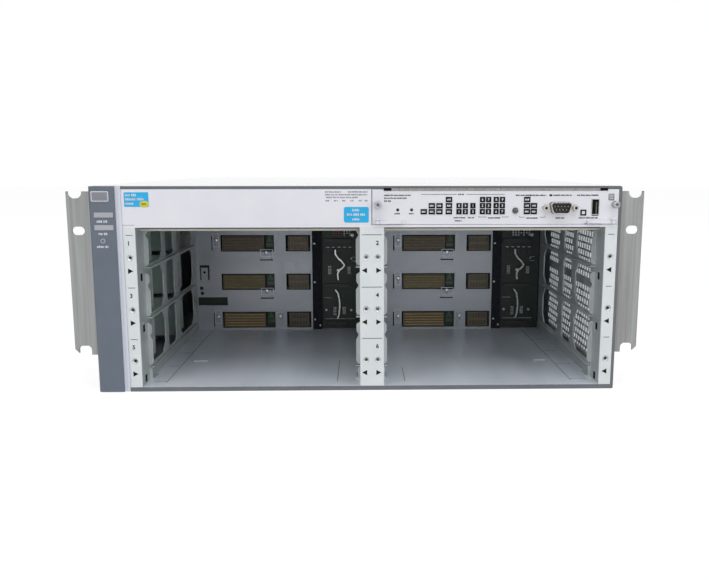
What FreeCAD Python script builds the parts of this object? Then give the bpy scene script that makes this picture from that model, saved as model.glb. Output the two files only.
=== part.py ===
import FreeCAD
import Part
import math
import os
from FreeCAD import Vector

# A 4U rack chassis for a modular network switch: six empty module slots in two
# bays, a management module in the top row, a fan tray on the left flank and a
# power supply in the back. Millimetres. X runs to the right seen from the front,
# Y runs to the back from the front faces of the posts (y = 0), Z is up from the
# underside. export() moves Y so that the origin is the middle of the footprint.

# ---- whole chassis ------------------------------------------------------------
PANEL_WIDTH = 482.6            # across the rack ears
EAR_REACH = 19.3               # each ear beyond the body
BODY_HEIGHT = 175.3
BODY_DEPTH = 451.0
SHEET = 1.2                    # cover, walls and plates
HEM = 2.6                      # thickness of the cover's folded front edge
HEM_DEPTH = 8.0
COVER_BEND = 1.2               # its top bends, outside
COVER_LIFT = 0.3               # the cover's sides end above the surface below
FLOOR_TOP = 3.8                # inner floor, above the outer pan
PAN_FLANGE = 10.0              # height of the outer pan's side flanges
PAN_LIP_GAP = 0.2              # pan's front edge, below the inner floor
RUN_GAP = 0.3                  # clearance of every part that slides or turns
SMALL_SIDES = 8                # sides of small holes, pins and shanks
ROUND_SIDES = 12               # sides of nuts, screw heads and buttons
FAN_SIDES = 16                 # sides of fan bores and hubs
PAST = 1.0                     # how far a cutting shape runs past the sheet

# ---- front posts and module bays ------------------------------------------------
POST_SHEET = 1.5
POST_WIDTH = 10.2              # each side of a bay; the centre post is twice this
POST_RETURN = 12.0             # depth of the folded side of a post
SLOTS = 3
SLOT_BASE = 1.45
SLOT_HEADROOM = 8.3            # top slot to the shelf's top
TOP_ROW_HEIGHT = 32.2          # shelf's top to the cover's top
SHELF_HEM = 2.2
SHELF_HEM_DEPTH = 6.0
STIFFENER_SETBACK = 15.0
STIFFENER_DROP = 4.9
DIVIDER_FOOT = 8.0

# ---- clinch nuts that take the module screws ---------------------------------------
NUT_INSET = 4.9                # from the bay's edge
NUT_DROP = 19.1                # below the top of each slot
NUT_R = 2.5
NUT_DEPTH = 5.5
NUT_BORE_R = 1.65

# ---- guide walls -------------------------------------------------------------------
WALL_HOLES = [(27.0, 85.0, 9.0), (96.5, 128.5, 4.0), (143.5, 212.0, 9.0)]   # start, end, corner
WALL_HOLE_RISE = 15.3          # above the slot's base
WALL_BRIDGE = 4.95             # sheet left between openings of two slots
WALL_TOP_BRIDGE = 4.0          # sheet left under the shelf
RIB_RISE = 13.0
RIB_REACH = 3.5                # how far ribs and lips stand into the bay
RIB_FRONT = 26.0
RIB_SETBACK = 18.6             # ribs end in front of the back plate
# edge of the lip folded from the front openings: rise above its rib, reach into the bay
LIP_LINE = [(2.5, 2.0), (5.0, 3.5), (25.0, 3.5), (29.0, 1.2), (32.5, 3.2), (38.5, 3.2), (40.5, 0.8)]
CATCH_SLOT_Y = 9.0
CATCH_SLOT_WIDTH = 2.2
CATCH_SLOT_HEIGHT = 8.5
FOOT_FRONT = 24.0
FOOT_LENGTH = 16.0
FOOT_RISE = 10.0
FOOT_REACH = 2.0

# ---- backplane: widths are for bays of NOMINAL_PITCH and follow the real pitch ------------
NOMINAL_PITCH = 207.4
BACK_PLATE_Y = 233.6
BOARD_GAP = 3.2                # back plate to circuit board
BOARD_SHEET = 2.4
BOARD_TOP_GAP = 4.0            # board to the cover
PLATE_WIDTH = 142.4            # from the bay's edge
SEAL_WIDTH = 10.6
BIG_WINDOW = (38.3, 60.7)      # start from the bay's edge, width
SMALL_WINDOW = (112.4, 28.2)
WINDOW_RISE = 4.5
WINDOW_HEIGHT = 18.8
TAB_REACH = 8.4                # pressed tabs beside and under the windows
TAB_GAP = 0.6                  # tab to window
TAB_SLOT = 1.4                 # slot that the tab was pressed out of
TAB_TRIM = 1.0                 # tabs are this much shorter than the window
TAB_HOLE_R = 1.3
LOW_TAB = (14.5, 11.0)         # inset from the window's right end, width
SIDE_TAB = (3.0, 6.5)          # outset from the window's right end, width
SPACER_SIZE = 6.0              # square spacers between plate and board
SPACER_INSET = 6.0
SPACER_RISE = 25.2
LOCK_START = 13.8              # lock slot on the left plate, from the bay's edge
LOCK_WIDTH = 10.8
LOCK_LEVELS = (61.9, 79.2)
LOCK_TONGUE = (1.6, 1.4)       # side and bottom clearance of its tongue
PEEP_LEVELS = (32.4, 41.9)     # window that shows the board
PEEP_WIDTH = 33.7
PEG_HOLE_R = 2.0
PEG_HOLES = [(15.0, 52.6), (15.6, 46.6)]
DATA_PLUG_WIDTH = 48.0
POWER_PLUG_WIDTH = 23.0
POWER_PLUG_INSET = 1.2
PLUG_MARGIN = 1.6              # between a connector and its window
PLUG_ROWS = 5
POWER_ROWS = 2
GROOVE_INSET = 1.2
GROOVE_DEPTH = 1.5
STRAP_SHEET = 1.6
STRAP_WIDTH = 4.0
STRAP_X = 172.0
UPPER_STRAP = [(-3, 96), (-3, 89), (7, 81), (7, 76), (-1, 72), (0, 62)]
LOWER_STRAP = [(-3, 49.5), (1.5, 43), (1.5, 22), (-1, 16.5)]
STRAP_BEND = 0.35              # share of a run that its bend takes

# ---- bezel at the left of the front; drops are from the cover's top -----------------------
BEZEL_WIDTH = 21.8
BEZEL_PROUD = 2.5
BEZEL_DEPTH = 11.0
BEZEL_WALL = 2.0
BEZEL_ROUND = 4.0
BEZEL_LIFT = 0.5               # clear of the surface the chassis stands on
BEZEL_TOP_GAP = 0.1
TRIM_WIDTH = 4.8
TRIM_PROUD = 1.0
TRIM_GROOVE = (1.0, 0.4)
LENS_WIDTH = 15.8
LENS_HEIGHT = 4.5
LENS_PROUD = 0.3
LENS_INSET = 4.4               # from the bezel's outer edge
LENS_DROPS = (26.0, 36.4)
LOCATOR_R = 2.0
LOCATOR_DROP = 45.1
BADGE_RECESS = 0.6
BADGE_WIDTH = 14.9
BADGE_HEIGHT = 9.0
BADGE_DROP = 12.8

# ---- rack ears ----------------------------------------------------------------------
RACK_HOLE_INSET = 8.75         # hole column from the panel's end
EAR_SHEET = 2.0
EAR_SETBACK = 2.0
EAR_ARM = 32.0
EAR_SLOT_DROP = 37.0           # slot below the cover's top
EAR_SLOT_LENGTH = 10.5
EAR_SLOT_R = 3.5
EAR_NOTCH_ABOVE = 31.75        # rack hole steps from the slot to the two notches
EAR_NOTCH_BELOW = 101.6
EAR_OVER_NOTCH = 0.95
EAR_UNDER_NOTCH = 4.4
EAR_CORNER = 5.0
UPPER_NOTCH = (11.4, 4.8, 1.6)  # length, radius, and how far out of line it lies
EAR_SCREW_STEP = 50.0
EAR_SCREW_Y = 19.0
SCREW_HEAD_R = 3.6
SCREW_HEAD_DEPTH = 1.8
SCREW_SHANK_R = 2.0

# ---- management module: places along it are for a faceplate of NOMINAL_FACE, from its left
# ---- end, and follow the real width; rises are from the shelf's top -------------------------
NOMINAL_FACE = 207.0
MODULE_PLATE = 1.5
MODULE_EDGE_GAP = 0.3          # at the faceplate's left end
MODULE_END_GAP = 0.1           # at its right end
MODULE_TOP_GAP = 4.0
MODULE_EAR_RISE = 1.2
MODULE_EAR_WIDTH = 12.0
MODULE_SETBACK = 10.1          # tray ends in front of the back plate
MODULE_TRAY_SIDE = 12.0
MODULE_BOARD_RISE = 4.9
MODULE_BOARD_SHEET = 1.6
MODULE_BOARD_INSET = 4.0
MODULE_SIDE_INSET = 1.8
BOSS_INSET = (16.0, 20.0)
BOSS_HALF = 3.0
THUMB_HEAD_R = 3.0
THUMB_HEAD_DEPTH = 6.0
THUMB_SHANK_R = 2.0
THUMB_SHANK_PAST = 8.0
THUMB_SLOT = (1.0, 1.2)        # width and depth
THUMB_INSET = (4.6, 3.2)       # from the faceplate's left and right ends
THUMB_RISE = 16.7
THUMB_NOTCH = 12.0
SERIAL_AT = 157.6
SERIAL_RISE = 13.9
SERIAL_JACK_PITCH = 25.0
SERIAL_SHELL = (17.6, 9.4)
SERIAL_SLOPE = 1.6
SERIAL_CORNER = 1.4
SERIAL_PROUD = 5.6
SERIAL_FLANGE = (30.8, 12.4, 0.8)
SERIAL_BODY_DEPTH = 10.0
SERIAL_PIN_PITCH = 2.77
SERIAL_PIN_RISE = 1.42
SERIAL_PIN_SIZE = 1.0
JACK_R = 2.4
JACK_SHANK_R = 1.5
JACK_BORE_R = 1.1
JACK_PROUD = 4.6
USB_AT = 187.35
USB_RISE = 14.7
USB_SIZE = (6.6, 13.4)
USB_DEPTH = 14.0
USB_PROUD = 0.6
USB_TONGUE = 2.0
SHELL_SHEET = 0.5
PIN_BUTTONS = (21.3, 32.9)
PIN_BUTTON_R = 1.0
PIN_BUTTON_RISE = 12.3
MODE_BUTTON_AT = 120.0
MODE_BUTTON_RISE = 11.6
MODE_BUTTON_R = 2.2
MODE_BUTTON_PROUD = 1.6
BUTTON_COLLAR = 1.0
BUTTON_LENGTH = 5.0
LED_SHEET = 0.4
LED_RISES = (10.8, 15.8, 20.9)
LED_HEIGHT = 4.4
LED_WIDE = 5.3
LED_WIDE_PLACES = (43.1, 49.8, 56.2, 64.1, 129.7, 135.5)
LED_WIDE_COUNTS = (1, 2, 2, 3, 3, 2)
LED_NARROW = 4.4
LED_NARROW_PLACES = (72.6, 77.9, 84.2, 92.2, 97.3, 103.7, 108.9)
LED_NARROW_COUNTS = (2, 2, 2, 3, 3, 3, 3)
EJECTOR_LENGTH = 24.0
EJECTOR_HEIGHT = 3.0
EJECTOR_SHEET = 3.2
EJECTOR_ARM_SHEET = 1.4
EJECTOR_LIP = 3.4
EJECTOR_INSET = 4.2
EJECTOR_RISE = 0.7
EJECTOR_PIN_R = 1.0
LUG_WIDTH = 4.4
PLUG_WIDTH = 66.0
PLUG_AT = 102.7
PLUG_RISE = 11.9
PLUG_TONGUE = 3.0
PLUG_INSERT = 6.0
PLUG_SHOULDER = 3.0
PLUG_LAP = 10.0                # plug over the board's back edge
SOCKET_DEPTH = 9.0
SOCKET_HEIGHT = 12.0
SOCKET_SHOULDER = 4.0

# ---- fan tray ---------------------------------------------------------------------------
FAN_CLEAR = 4.45               # a fan is this much lower than a slot
FAN_DEPTH = 26.0
FAN_WALL = 1.4                 # bore to the housing's side
FAN_COLUMNS = (52.0, 168.0)
FAN_HEADROOM = 9.45            # fan axis below the next slot's base
FAN_HUB_R = 8.0
FAN_TIP_GAP = 0.8
FAN_BLADES = 7
FAN_BLADE_SHEET = 1.2
FAN_BLADE_TILT = 36.0
FAN_BLADE_SHORT = 3.0          # blades are this much shorter than the hub
FAN_SHAFT_R = 1.5
FAN_SHAFT_SHORT = 5.0
FAN_ARM = 2.0
MOTOR_DEPTH = 3.0
TRAY_FRONT = 26.0
TRAY_FLANGE = 1.4
TRAY_TOP_GAP = 6.1             # tray below the cover
GRIP_INSET = 10.0
GRIP_DROP = 90.0               # grip opening's lower edge below the tray's top
GRIP_HEIGHT = 20.0
TRAY_SCREW_DROP = 8.0

# ---- vents in the two flanks -----------------------------------------------------------
VENT_PITCH = 7.66
VENT_HOLE = 4.9
VENT_BLANK_ROW = 10
VENT_FIRST_LEVEL = 15.5
VENT_GROUPS = (66.5, 136.0, 188.0)
VENT_GROUP_COUNTS = (8, 4, 5)
VENT_DEPTHS = (58.0, 248.0)
VENT_OVER_SHELF = 7.0          # the intake screen ends above the shelf
EXHAUST_DEPTHS = (27.0, 200.0)
EXHAUST_BOTTOM = 12.0
EXHAUST_TOP_GAP = 10.1         # below the cover's ceiling
VENT_LAND = 4.0                # how far a vent panel laps the cover round its window
EXHAUST_SLOTS = 5
EXHAUST_SLOT = (34.0, 4.0)

# ---- rear: power supply, blank cover -----------------------------------------------------
PSU_WIDTH = 190.0              # for bays of NOMINAL_PITCH
PSU_HEIGHT = 84.0
PSU_FRONT_GAP = 22.9           # behind the circuit board
PSU_SHEET = 1.2
PSU_LAP = 4.0                  # rear flange laps the panel's cut-out
PSU_BAY_EDGE = 8.0             # from the module bays' outer edges
PSU_FAN_R = 28.0
PSU_FAN_X = 50.0               # fan axis from the supply's left side
PSU_FAN_DEPTH = 12.0
PSU_HUB_R = 11.0
PSU_SHAFT_R = 2.0
PSU_BLADE_SHEET = 1.4
GUARD_RINGS = [(28.0, 21.0), (18.5, 11.5)]
GUARD_BAR = 3.0
BLANK_DEPTH = 10.0
INLET_X = 140.0
INLET_SIZE = (27.4, 19.6)
INLET_DEPTH = 17.0
INLET_RIM = 3.0
INLET_RIM_SHEET = 2.0
INLET_WALL = 1.8
INLET_CORNER = 4.0
INLET_PINS = [(-7, -2), (7, -2), (0, 3)]
INLET_PIN = (2.0, 4.0)
INLET_PIN_SETBACK = 3.0
HANDLE_PITCH = 46.0
HANDLE_R = 2.5
HANDLE_REACH = 14.0
HANDLE_X = 96.0
REAR_VENTS = 12
REAR_VENT = (20.0, 4.0)
REAR_VENT_PITCH = 30.0
REAR_VENT_DROP = 44.1          # below the cover's ceiling

# ---- derived places ----------------------------------------------------------------------
HALF = PANEL_WIDTH / 2 - EAR_REACH
INNER = HALF - SHEET                       # inside face of the cover's sides
CEILING = BODY_HEIGHT - SHEET
SHELF_TOP = BODY_HEIGHT - TOP_ROW_HEIGHT
SHELF_UNDER = SHELF_TOP - SHEET
POST_TOP = SHELF_TOP - SHELF_HEM
SLOT_PITCH = (SHELF_TOP - SLOT_HEADROOM - SLOT_BASE) / SLOTS
BEZEL_RIGHT = -HALF + BEZEL_WIDTH
BEZEL_MIDDLE = -HALF + BEZEL_WIDTH / 2
BEZEL_BACK = BEZEL_DEPTH - BEZEL_PROUD
BEZEL_TOP = BODY_HEIGHT - BEZEL_TOP_GAP
RIGHT_EDGE = HALF - HEM                    # right edge of the right-hand bay
BAY_PITCH = (RIGHT_EDGE - BEZEL_RIGHT - TRIM_WIDTH) / 2
BAY_OPENING = BAY_PITCH - 2 * POST_WIDTH
BAY_RATIO = BAY_PITCH / NOMINAL_PITCH
BAY_EDGES = [RIGHT_EDGE - 2 * BAY_PITCH, RIGHT_EDGE - BAY_PITCH]
LEFT_WALL_X = BAY_EDGES[0] + POST_WIDTH    # faces of the walls that look into the bays
MID_WALL_LEFT_X = BAY_EDGES[1] - POST_WIDTH
MID_WALL_RIGHT_X = BAY_EDGES[1] + POST_WIDTH
RIGHT_WALL_X = RIGHT_EDGE - POST_WIDTH
BOARD_Y = BACK_PLATE_Y + SHEET + BOARD_GAP
REAR_INNER = BODY_DEPTH - SHEET
REAR_FACE = BODY_DEPTH + RUN_GAP           # back of what slides in from behind
PSU_DEPTH = REAR_FACE - BOARD_Y - BOARD_SHEET - PSU_FRONT_GAP
PSU_REAL_WIDTH = PSU_WIDTH * BAY_RATIO
TRAY_TOP = CEILING - TRAY_TOP_GAP
FAN_SIZE = SLOT_PITCH - FAN_CLEAR
FAN_BORE_R = FAN_SIZE / 2 - FAN_WALL
MODULE_LEFT = BAY_EDGES[1] + MODULE_EDGE_GAP
MODULE_RIGHT = RIGHT_EDGE - MODULE_END_GAP
MODULE_BOTTOM = SHELF_TOP + RUN_GAP
MODULE_TOP = BODY_HEIGHT - MODULE_TOP_GAP
FACE_RATIO = (MODULE_RIGHT - MODULE_LEFT) / NOMINAL_FACE
MODULE_BACK = BACK_PLATE_Y - MODULE_SETBACK
MODULE_BOARD_BACK = MODULE_BACK - MODULE_BOARD_INSET
MODULE_BOARD_LEVEL = SHELF_TOP + MODULE_BOARD_RISE
BOARD_TOP = MODULE_BOARD_LEVEL + MODULE_BOARD_SHEET
THUMB_LEVEL = SHELF_TOP + THUMB_RISE
PLUG_LEVEL = SHELF_TOP + PLUG_RISE
SERIAL_LEVEL = SHELF_TOP + SERIAL_RISE
EAR_SLOT_LEVEL = BODY_HEIGHT - EAR_SLOT_DROP
EAR_UPPER_NOTCH = EAR_SLOT_LEVEL + EAR_NOTCH_ABOVE
EAR_LOWER_NOTCH = EAR_SLOT_LEVEL - EAR_NOTCH_BELOW
EAR_TOP = EAR_UPPER_NOTCH + EAR_OVER_NOTCH
EAR_BOTTOM = EAR_LOWER_NOTCH - EAR_UNDER_NOTCH
FRONT_MOST = -THUMB_HEAD_DEPTH - RUN_GAP
REAR_MOST = REAR_FACE + PSU_SHEET + HANDLE_REACH
MIDDLE_Y = (FRONT_MOST + REAR_MOST) / 2


# ---- drawing helpers -----------------------------------------------------------------------
def box(x0, x1, y0, y1, z0, z1):
    return Part.makeBox(x1 - x0, y1 - y0, z1 - z0, Vector(x0, y0, z0))


def prism_x(points, x0, x1):
    """A flat outline of (y, z) points, x0 to x1 thick."""
    loop = [Vector(x0, y, z) for y, z in points]
    return Part.Face(Part.makePolygon(loop + loop[:1])).extrude(Vector(x1 - x0, 0, 0))


def prism_y(points, y0, y1):
    """A flat outline of (x, z) points, y0 to y1 thick."""
    loop = [Vector(x, y0, z) for x, z in points]
    return Part.Face(Part.makePolygon(loop + loop[:1])).extrude(Vector(0, y1 - y0, 0))


def prism_z(points, z0, z1):
    """A flat outline of (x, y) points, z0 to z1 thick."""
    loop = [Vector(x, y, z0) for x, y in points]
    return Part.Face(Part.makePolygon(loop + loop[:1])).extrude(Vector(0, 0, z1 - z0))


def ring_points(a, b, r, sides):
    """A regular outline round (a, b), with r at the middle of its sides."""
    corner = r / math.cos(math.pi / sides)
    turns = [2 * math.pi * (i + 0.5) / sides for i in range(sides)]
    return [(a + corner * math.cos(t), b + corner * math.sin(t)) for t in turns]


def rod_x(y, z, r, x0, x1):
    return Part.makeCylinder(r, x1 - x0, Vector(x0, y, z), Vector(1, 0, 0))


def rod_y(x, z, r, y0, y1):
    return Part.makeCylinder(r, y1 - y0, Vector(x, y0, z), Vector(0, 1, 0))


def rod_z(x, y, r, z0, z1):
    return Part.makeCylinder(r, z1 - z0, Vector(x, y, z0), Vector(0, 0, 1))


def peg_x(y, z, r, x0, x1, sides=SMALL_SIDES):
    return prism_x(ring_points(y, z, r, sides), x0, x1)


def peg_y(x, z, r, y0, y1, sides=SMALL_SIDES):
    return prism_y(ring_points(x, z, r, sides), y0, y1)


def peg_z(x, y, r, z0, z1, sides=SMALL_SIDES):
    return prism_z(ring_points(x, y, r, sides), z0, z1)


def octagon(a0, a1, b0, b1, corner):
    return [
        (a0 + corner, b0), (a1 - corner, b0), (a1, b0 + corner), (a1, b1 - corner),
        (a1 - corner, b1), (a0 + corner, b1), (a0, b1 - corner), (a0, b0 + corner),
    ]


def fuse(shapes):
    """Joins touching shapes into one clean solid."""
    return shapes[0].multiFuse(shapes[1:]).removeSplitter()


def cut(shape, tools):
    return shape.cut(Part.makeCompound(tools))


def mirror_x(shape):
    return shape.mirror(Vector(0, 0, 0), Vector(1, 0, 0))


def slot_base(row):
    return SLOT_BASE + row * SLOT_PITCH


def export(name, shape):
    os.makedirs("parts", exist_ok=True)
    placed = shape.copy()
    placed.translate(Vector(0, -MIDDLE_Y, 0))
    placed.exportStep("parts/" + name + ".step")


# ---- outer shell ---------------------------------------------------------------------------
def base_pan():
    """Bottom sheet with a low front edge, side flanges inside the cover and a cut for the bezel."""
    pan = fuse([
        box(-INNER, INNER, 0, BODY_DEPTH, 0, SHEET),
        box(-INNER, -INNER + SHEET, 0, REAR_INNER, 0, PAN_FLANGE),
        box(INNER - SHEET, INNER, HEM_DEPTH, REAR_INNER, 0, PAN_FLANGE),
        box(-INNER, INNER, 0, SHEET, 0, FLOOR_TOP - PAN_LIP_GAP),
    ])
    return cut(pan, [box(-HALF, BAY_EDGES[0], -PAST, BEZEL_BACK, -PAST, PAN_FLANGE + PAST)])


def floor_plate():
    """Inner floor: a shallow upside-down tray standing on the pan."""
    left = -INNER + SHEET
    right = INNER - SHEET
    outer = box(left, right, BEZEL_BACK, REAR_INNER, SHEET, FLOOR_TOP)
    front = box(BAY_EDGES[0], RIGHT_EDGE, SHEET, BEZEL_BACK, SHEET, FLOOR_TOP)
    under = box(left + SHEET, right - SHEET, BEZEL_BACK + SHEET, REAR_INNER - SHEET, 0,
                FLOOR_TOP - SHEET)
    return fuse([outer, front]).cut(under)


def ear_screw_places():
    """(y, z) of the three screws through each ear's arm."""
    middle = (EAR_BOTTOM + EAR_TOP) / 2
    return [(EAR_SCREW_Y, middle + i * EAR_SCREW_STEP) for i in (-1, 0, 1)]


def intake_panel_box():
    return VENT_DEPTHS[0], VENT_DEPTHS[1], PAN_FLANGE, SHELF_TOP + VENT_OVER_SHELF


def exhaust_panel_box():
    return EXHAUST_DEPTHS[0], EXHAUST_DEPTHS[1], EXHAUST_BOTTOM, CEILING - EXHAUST_TOP_GAP


def vent_window(panel):
    y0, y1, z0, z1 = panel
    return y0 + VENT_LAND, y1 - VENT_LAND, z0 + VENT_LAND, z1 - VENT_LAND


def outer_cover():
    """Top and two sides folded from one sheet, hemmed at the front, with a window for each vent."""
    bend = BODY_HEIGHT - COVER_BEND
    blank = prism_y([
        (-HALF, COVER_LIFT), (HALF, COVER_LIFT), (HALF, bend), (HALF - COVER_BEND, BODY_HEIGHT),
        (COVER_BEND - HALF, BODY_HEIGHT), (-HALF, bend),
    ], 0, BODY_DEPTH)
    inside = box(-INNER, INNER, -PAST, BODY_DEPTH + PAST, -PAST, CEILING)
    shell = blank.cut(inside)
    top_hem = box(BAY_EDGES[0], INNER, 0, HEM_DEPTH, BODY_HEIGHT - HEM, CEILING)
    side_hem = box(RIGHT_EDGE, INNER, 0, HEM_DEPTH, FLOOR_TOP, CEILING)
    y0, y1, z0, z1 = vent_window(intake_panel_box())
    e0, e1, f0, f1 = vent_window(exhaust_panel_box())
    cuts = [
        box(-HALF - PAST, BAY_EDGES[0], -PAST, BEZEL_BACK, -PAST, BODY_HEIGHT + PAST),
        box(INNER - PAST, HALF + PAST, y0, y1, z0, z1),
        box(-HALF - PAST, -INNER + PAST, e0, e1, f0, f1),
    ]
    for y, z in ear_screw_places():
        cuts.append(peg_x(y, z, SCREW_SHANK_R, -HALF - PAST, HALF + PAST))
    return cut(fuse([shell, top_hem, side_hem]), cuts)


def intake_vent_panel():
    """Flat steel screen in the right flank, with staggered rows of punched holes."""
    y0, y1, z0, z1 = intake_panel_box()
    half = VENT_HOLE / 2
    rise = VENT_PITCH * math.sin(math.pi / 3)
    rows = int((z1 - VENT_LAND - half - VENT_FIRST_LEVEL) / rise) + 1
    holes = []
    for row in range(rows):
        if row == VENT_BLANK_ROW:
            continue
        z = VENT_FIRST_LEVEL + row * rise
        shift = (row % 2) * VENT_PITCH / 2
        for start, count in zip(VENT_GROUPS, VENT_GROUP_COUNTS):
            for i in range(count):
                y = start + shift + i * VENT_PITCH
                holes.append(box(INNER - SHEET - PAST, INNER + PAST, y - half, y + half,
                                 z - half, z + half))
    return cut(box(INNER - SHEET, INNER, y0, y1, z0, z1), holes)


def fan_levels():
    return [slot_base(row + 1) - FAN_HEADROOM for row in range(SLOTS)]


def exhaust_vent_panel():
    """Flat screen in the left flank, with a block of long slots beside each fan."""
    y0, y1, z0, z1 = exhaust_panel_box()
    length, height = EXHAUST_SLOT
    slots = []
    for y, level in fan_places():
        for i in range(EXHAUST_SLOTS):
            z = level + (i - (EXHAUST_SLOTS - 1) / 2) * 2 * height
            slots.append(box(-INNER - PAST, -INNER + SHEET + PAST, y - length / 2, y + length / 2,
                             z - height / 2, z + height / 2))
    return cut(box(-INNER, -INNER + SHEET, y0, y1, z0, z1), slots)


# ---- front posts, walls and shelf ------------------------------------------------------------
def nut_places():
    """(x, z) of every clinch nut: two a slot, one on each side of its bay."""
    places = []
    for edge in BAY_EDGES:
        for x in (edge + NUT_INSET, edge + BAY_PITCH - NUT_INSET):
            for row in range(SLOTS):
                places.append((x, slot_base(row + 1) - NUT_DROP))
    return places


def post(x0, x1, return_faces):
    """Front strip of a post, with a folded return behind each wall and holes for its nuts."""
    strips = [box(x0, x1, 0, POST_SHEET, FLOOR_TOP, POST_TOP)]
    for face, side in return_faces:
        inner = face + side * SHEET
        outer = inner + side * POST_SHEET
        strips.append(box(min(inner, outer), max(inner, outer), 0, POST_RETURN, FLOOR_TOP, POST_TOP))
    holes = [peg_y(x, z, NUT_R, -PAST, NUT_DEPTH) for x, z in nut_places() if x0 < x < x1]
    return cut(fuse(strips), holes)


def clinch_nuts():
    """Nuts pressed through the posts, flush in front, with threaded bores."""
    nuts = []
    for x, z in nut_places():
        body = peg_y(x, z, NUT_R, 0, NUT_DEPTH)
        nuts.append(body.cut(rod_y(x, z, NUT_BORE_R, -PAST, NUT_DEPTH + PAST)))
    return Part.makeCompound(nuts)


def wall_hole_top(row):
    """The top row of openings stops under the shelf."""
    return min(slot_base(row + 1) + WALL_HOLE_RISE - WALL_BRIDGE, SHELF_UNDER - WALL_TOP_BRIDGE)


def guide_lip(face, side, rib, top):
    """Wavy lip in front of an opening, from its rib up, ending where the opening ends."""
    line = [(rise, reach) for rise, reach in LIP_LINE if rib + rise <= top]
    root = face + side * SHEET / 2
    edge = [(face - side * reach, rib + rise) for rise, reach in line]
    return prism_y([(root, rib + line[0][0])] + edge + [(root, rib + line[-1][0])],
                   RIB_FRONT - SHEET, RIB_FRONT)


def guide_wall(face, side, top):
    """A sheet wall with eight-sided air openings. side is the way out of the bay, +1 or -1.
    Ribs that carry a module's edges, and lips folded from the openings, stand into the bay."""
    back = face + side * SHEET
    into = face - side * RIB_REACH
    sheet = box(min(face, back), max(face, back), POST_SHEET, BACK_PLATE_Y, FLOOR_TOP, top)
    near = min(face, back) - PAST
    far = max(face, back) + PAST
    openings = [box(near, far, 0, HEM_DEPTH, BODY_HEIGHT - HEM, CEILING)]
    foot = face - side * FOOT_REACH
    stands = [
        box(min(face, into), max(face, into), FOOT_FRONT, FOOT_FRONT + FOOT_LENGTH,
            FLOOR_TOP, FLOOR_TOP + SHEET),
        box(min(face, foot), max(face, foot), RIB_FRONT - SHEET, RIB_FRONT,
            FLOOR_TOP, FLOOR_TOP + FOOT_RISE),
    ]
    for row in range(SLOTS):
        z0 = slot_base(row) + WALL_HOLE_RISE
        z1 = wall_hole_top(row)
        for y0, y1, corner in WALL_HOLES:
            openings.append(prism_x(octagon(y0, y1, z0, z1, corner), near, far))
        rib = slot_base(row) + RIB_RISE
        stands.append(box(min(face, into), max(face, into), RIB_FRONT, BACK_PLATE_Y - RIB_SETBACK,
                          rib, rib + SHEET))
        stands.append(guide_lip(face, side, rib, z1))
        openings.append(box(near, far, CATCH_SLOT_Y, CATCH_SLOT_Y + CATCH_SLOT_WIDTH,
                            rib - CATCH_SLOT_HEIGHT, rib))
    return fuse([cut(sheet, openings)] + stands)


def centre_divider():
    """Channel between the bays: two guide walls joined by a web at the back."""
    web = box(MID_WALL_LEFT_X, MID_WALL_RIGHT_X, BACK_PLATE_Y - SHEET, BACK_PLATE_Y,
              FLOOR_TOP, SHELF_UNDER)
    return fuse([
        guide_wall(MID_WALL_LEFT_X, 1, SHELF_UNDER),
        guide_wall(MID_WALL_RIGHT_X, -1, SHELF_UNDER),
        web,
    ])


def management_shelf():
    """Shelf over the module bays, hemmed down at the front, with a stiffening flange in each bay."""
    right = INNER - SHEET
    parts = [
        box(LEFT_WALL_X, right, POST_SHEET, BACK_PLATE_Y, SHELF_UNDER, SHELF_TOP),
        box(BAY_EDGES[0], RIGHT_EDGE, 0, POST_SHEET, POST_TOP, SHELF_TOP),
    ]
    for edge in BAY_EDGES:
        x0 = edge + POST_WIDTH
        x1 = x0 + BAY_OPENING
        parts.append(box(x0, x1, POST_SHEET, SHELF_HEM_DEPTH, POST_TOP, SHELF_UNDER))
        parts.append(box(x0, x1, STIFFENER_SETBACK, STIFFENER_SETBACK + SHEET,
                         SHELF_UNDER - STIFFENER_DROP, SHELF_UNDER))
    corner = box(RIGHT_EDGE, HALF, 0, HEM_DEPTH, SHELF_UNDER - PAST, SHELF_TOP + PAST)
    return fuse(parts).cut(corner)


def blank_panel():
    """Plain cover over the left part of the top row, with its edges folded back."""
    x0 = BAY_EDGES[0]
    x1 = BAY_EDGES[1] - MODULE_EDGE_GAP
    top = BODY_HEIGHT - HEM
    solid = box(x0, x1, 0, POST_RETURN, SHELF_TOP, top)
    hollow = box(x0 + SHEET, x1 - SHEET, SHEET, POST_RETURN + PAST, SHELF_TOP + SHEET, top - SHEET)
    corner = box(x0 - PAST, LEFT_WALL_X, POST_SHEET, POST_RETURN + PAST, SHELF_TOP - PAST, top + PAST)
    return solid.cut(hollow).cut(corner)


def upper_divider():
    """Wall between the blank compartment and the management module, with a foot on the shelf."""
    x = BAY_EDGES[1]
    wall = box(x - SHEET, x, POST_RETURN, BACK_PLATE_Y, SHELF_TOP, CEILING)
    foot = box(x - DIVIDER_FOOT, x, POST_RETURN, BACK_PLATE_Y, SHELF_TOP, SHELF_TOP + SHEET)
    return fuse([wall, foot])


# ---- backplane -----------------------------------------------------------------------------
def plate_box(x0, x1, z0, z1):
    """A shape right through the back plate and the space behind it."""
    return box(x0, x1, BACK_PLATE_Y - PAST, BOARD_Y, z0, z1)


def window_span(edge, window):
    """Left and right limits of a window in the plate of one bay."""
    start, width = window
    return edge + start * BAY_RATIO, edge + (start + width) * BAY_RATIO


def pressed_tab(x0, x1, z0, z1):
    """A square tab pressed forward out of the back plate, with a screw hole."""
    tab = box(x0, x1, BACK_PLATE_Y - SHEET, BACK_PLATE_Y, z0, z1)
    return tab.cut(peg_y((x0 + x1) / 2, (z0 + z1) / 2, TAB_HOLE_R,
                         BACK_PLATE_Y - SHEET - PAST, BACK_PLATE_Y + PAST, 6))


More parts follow.
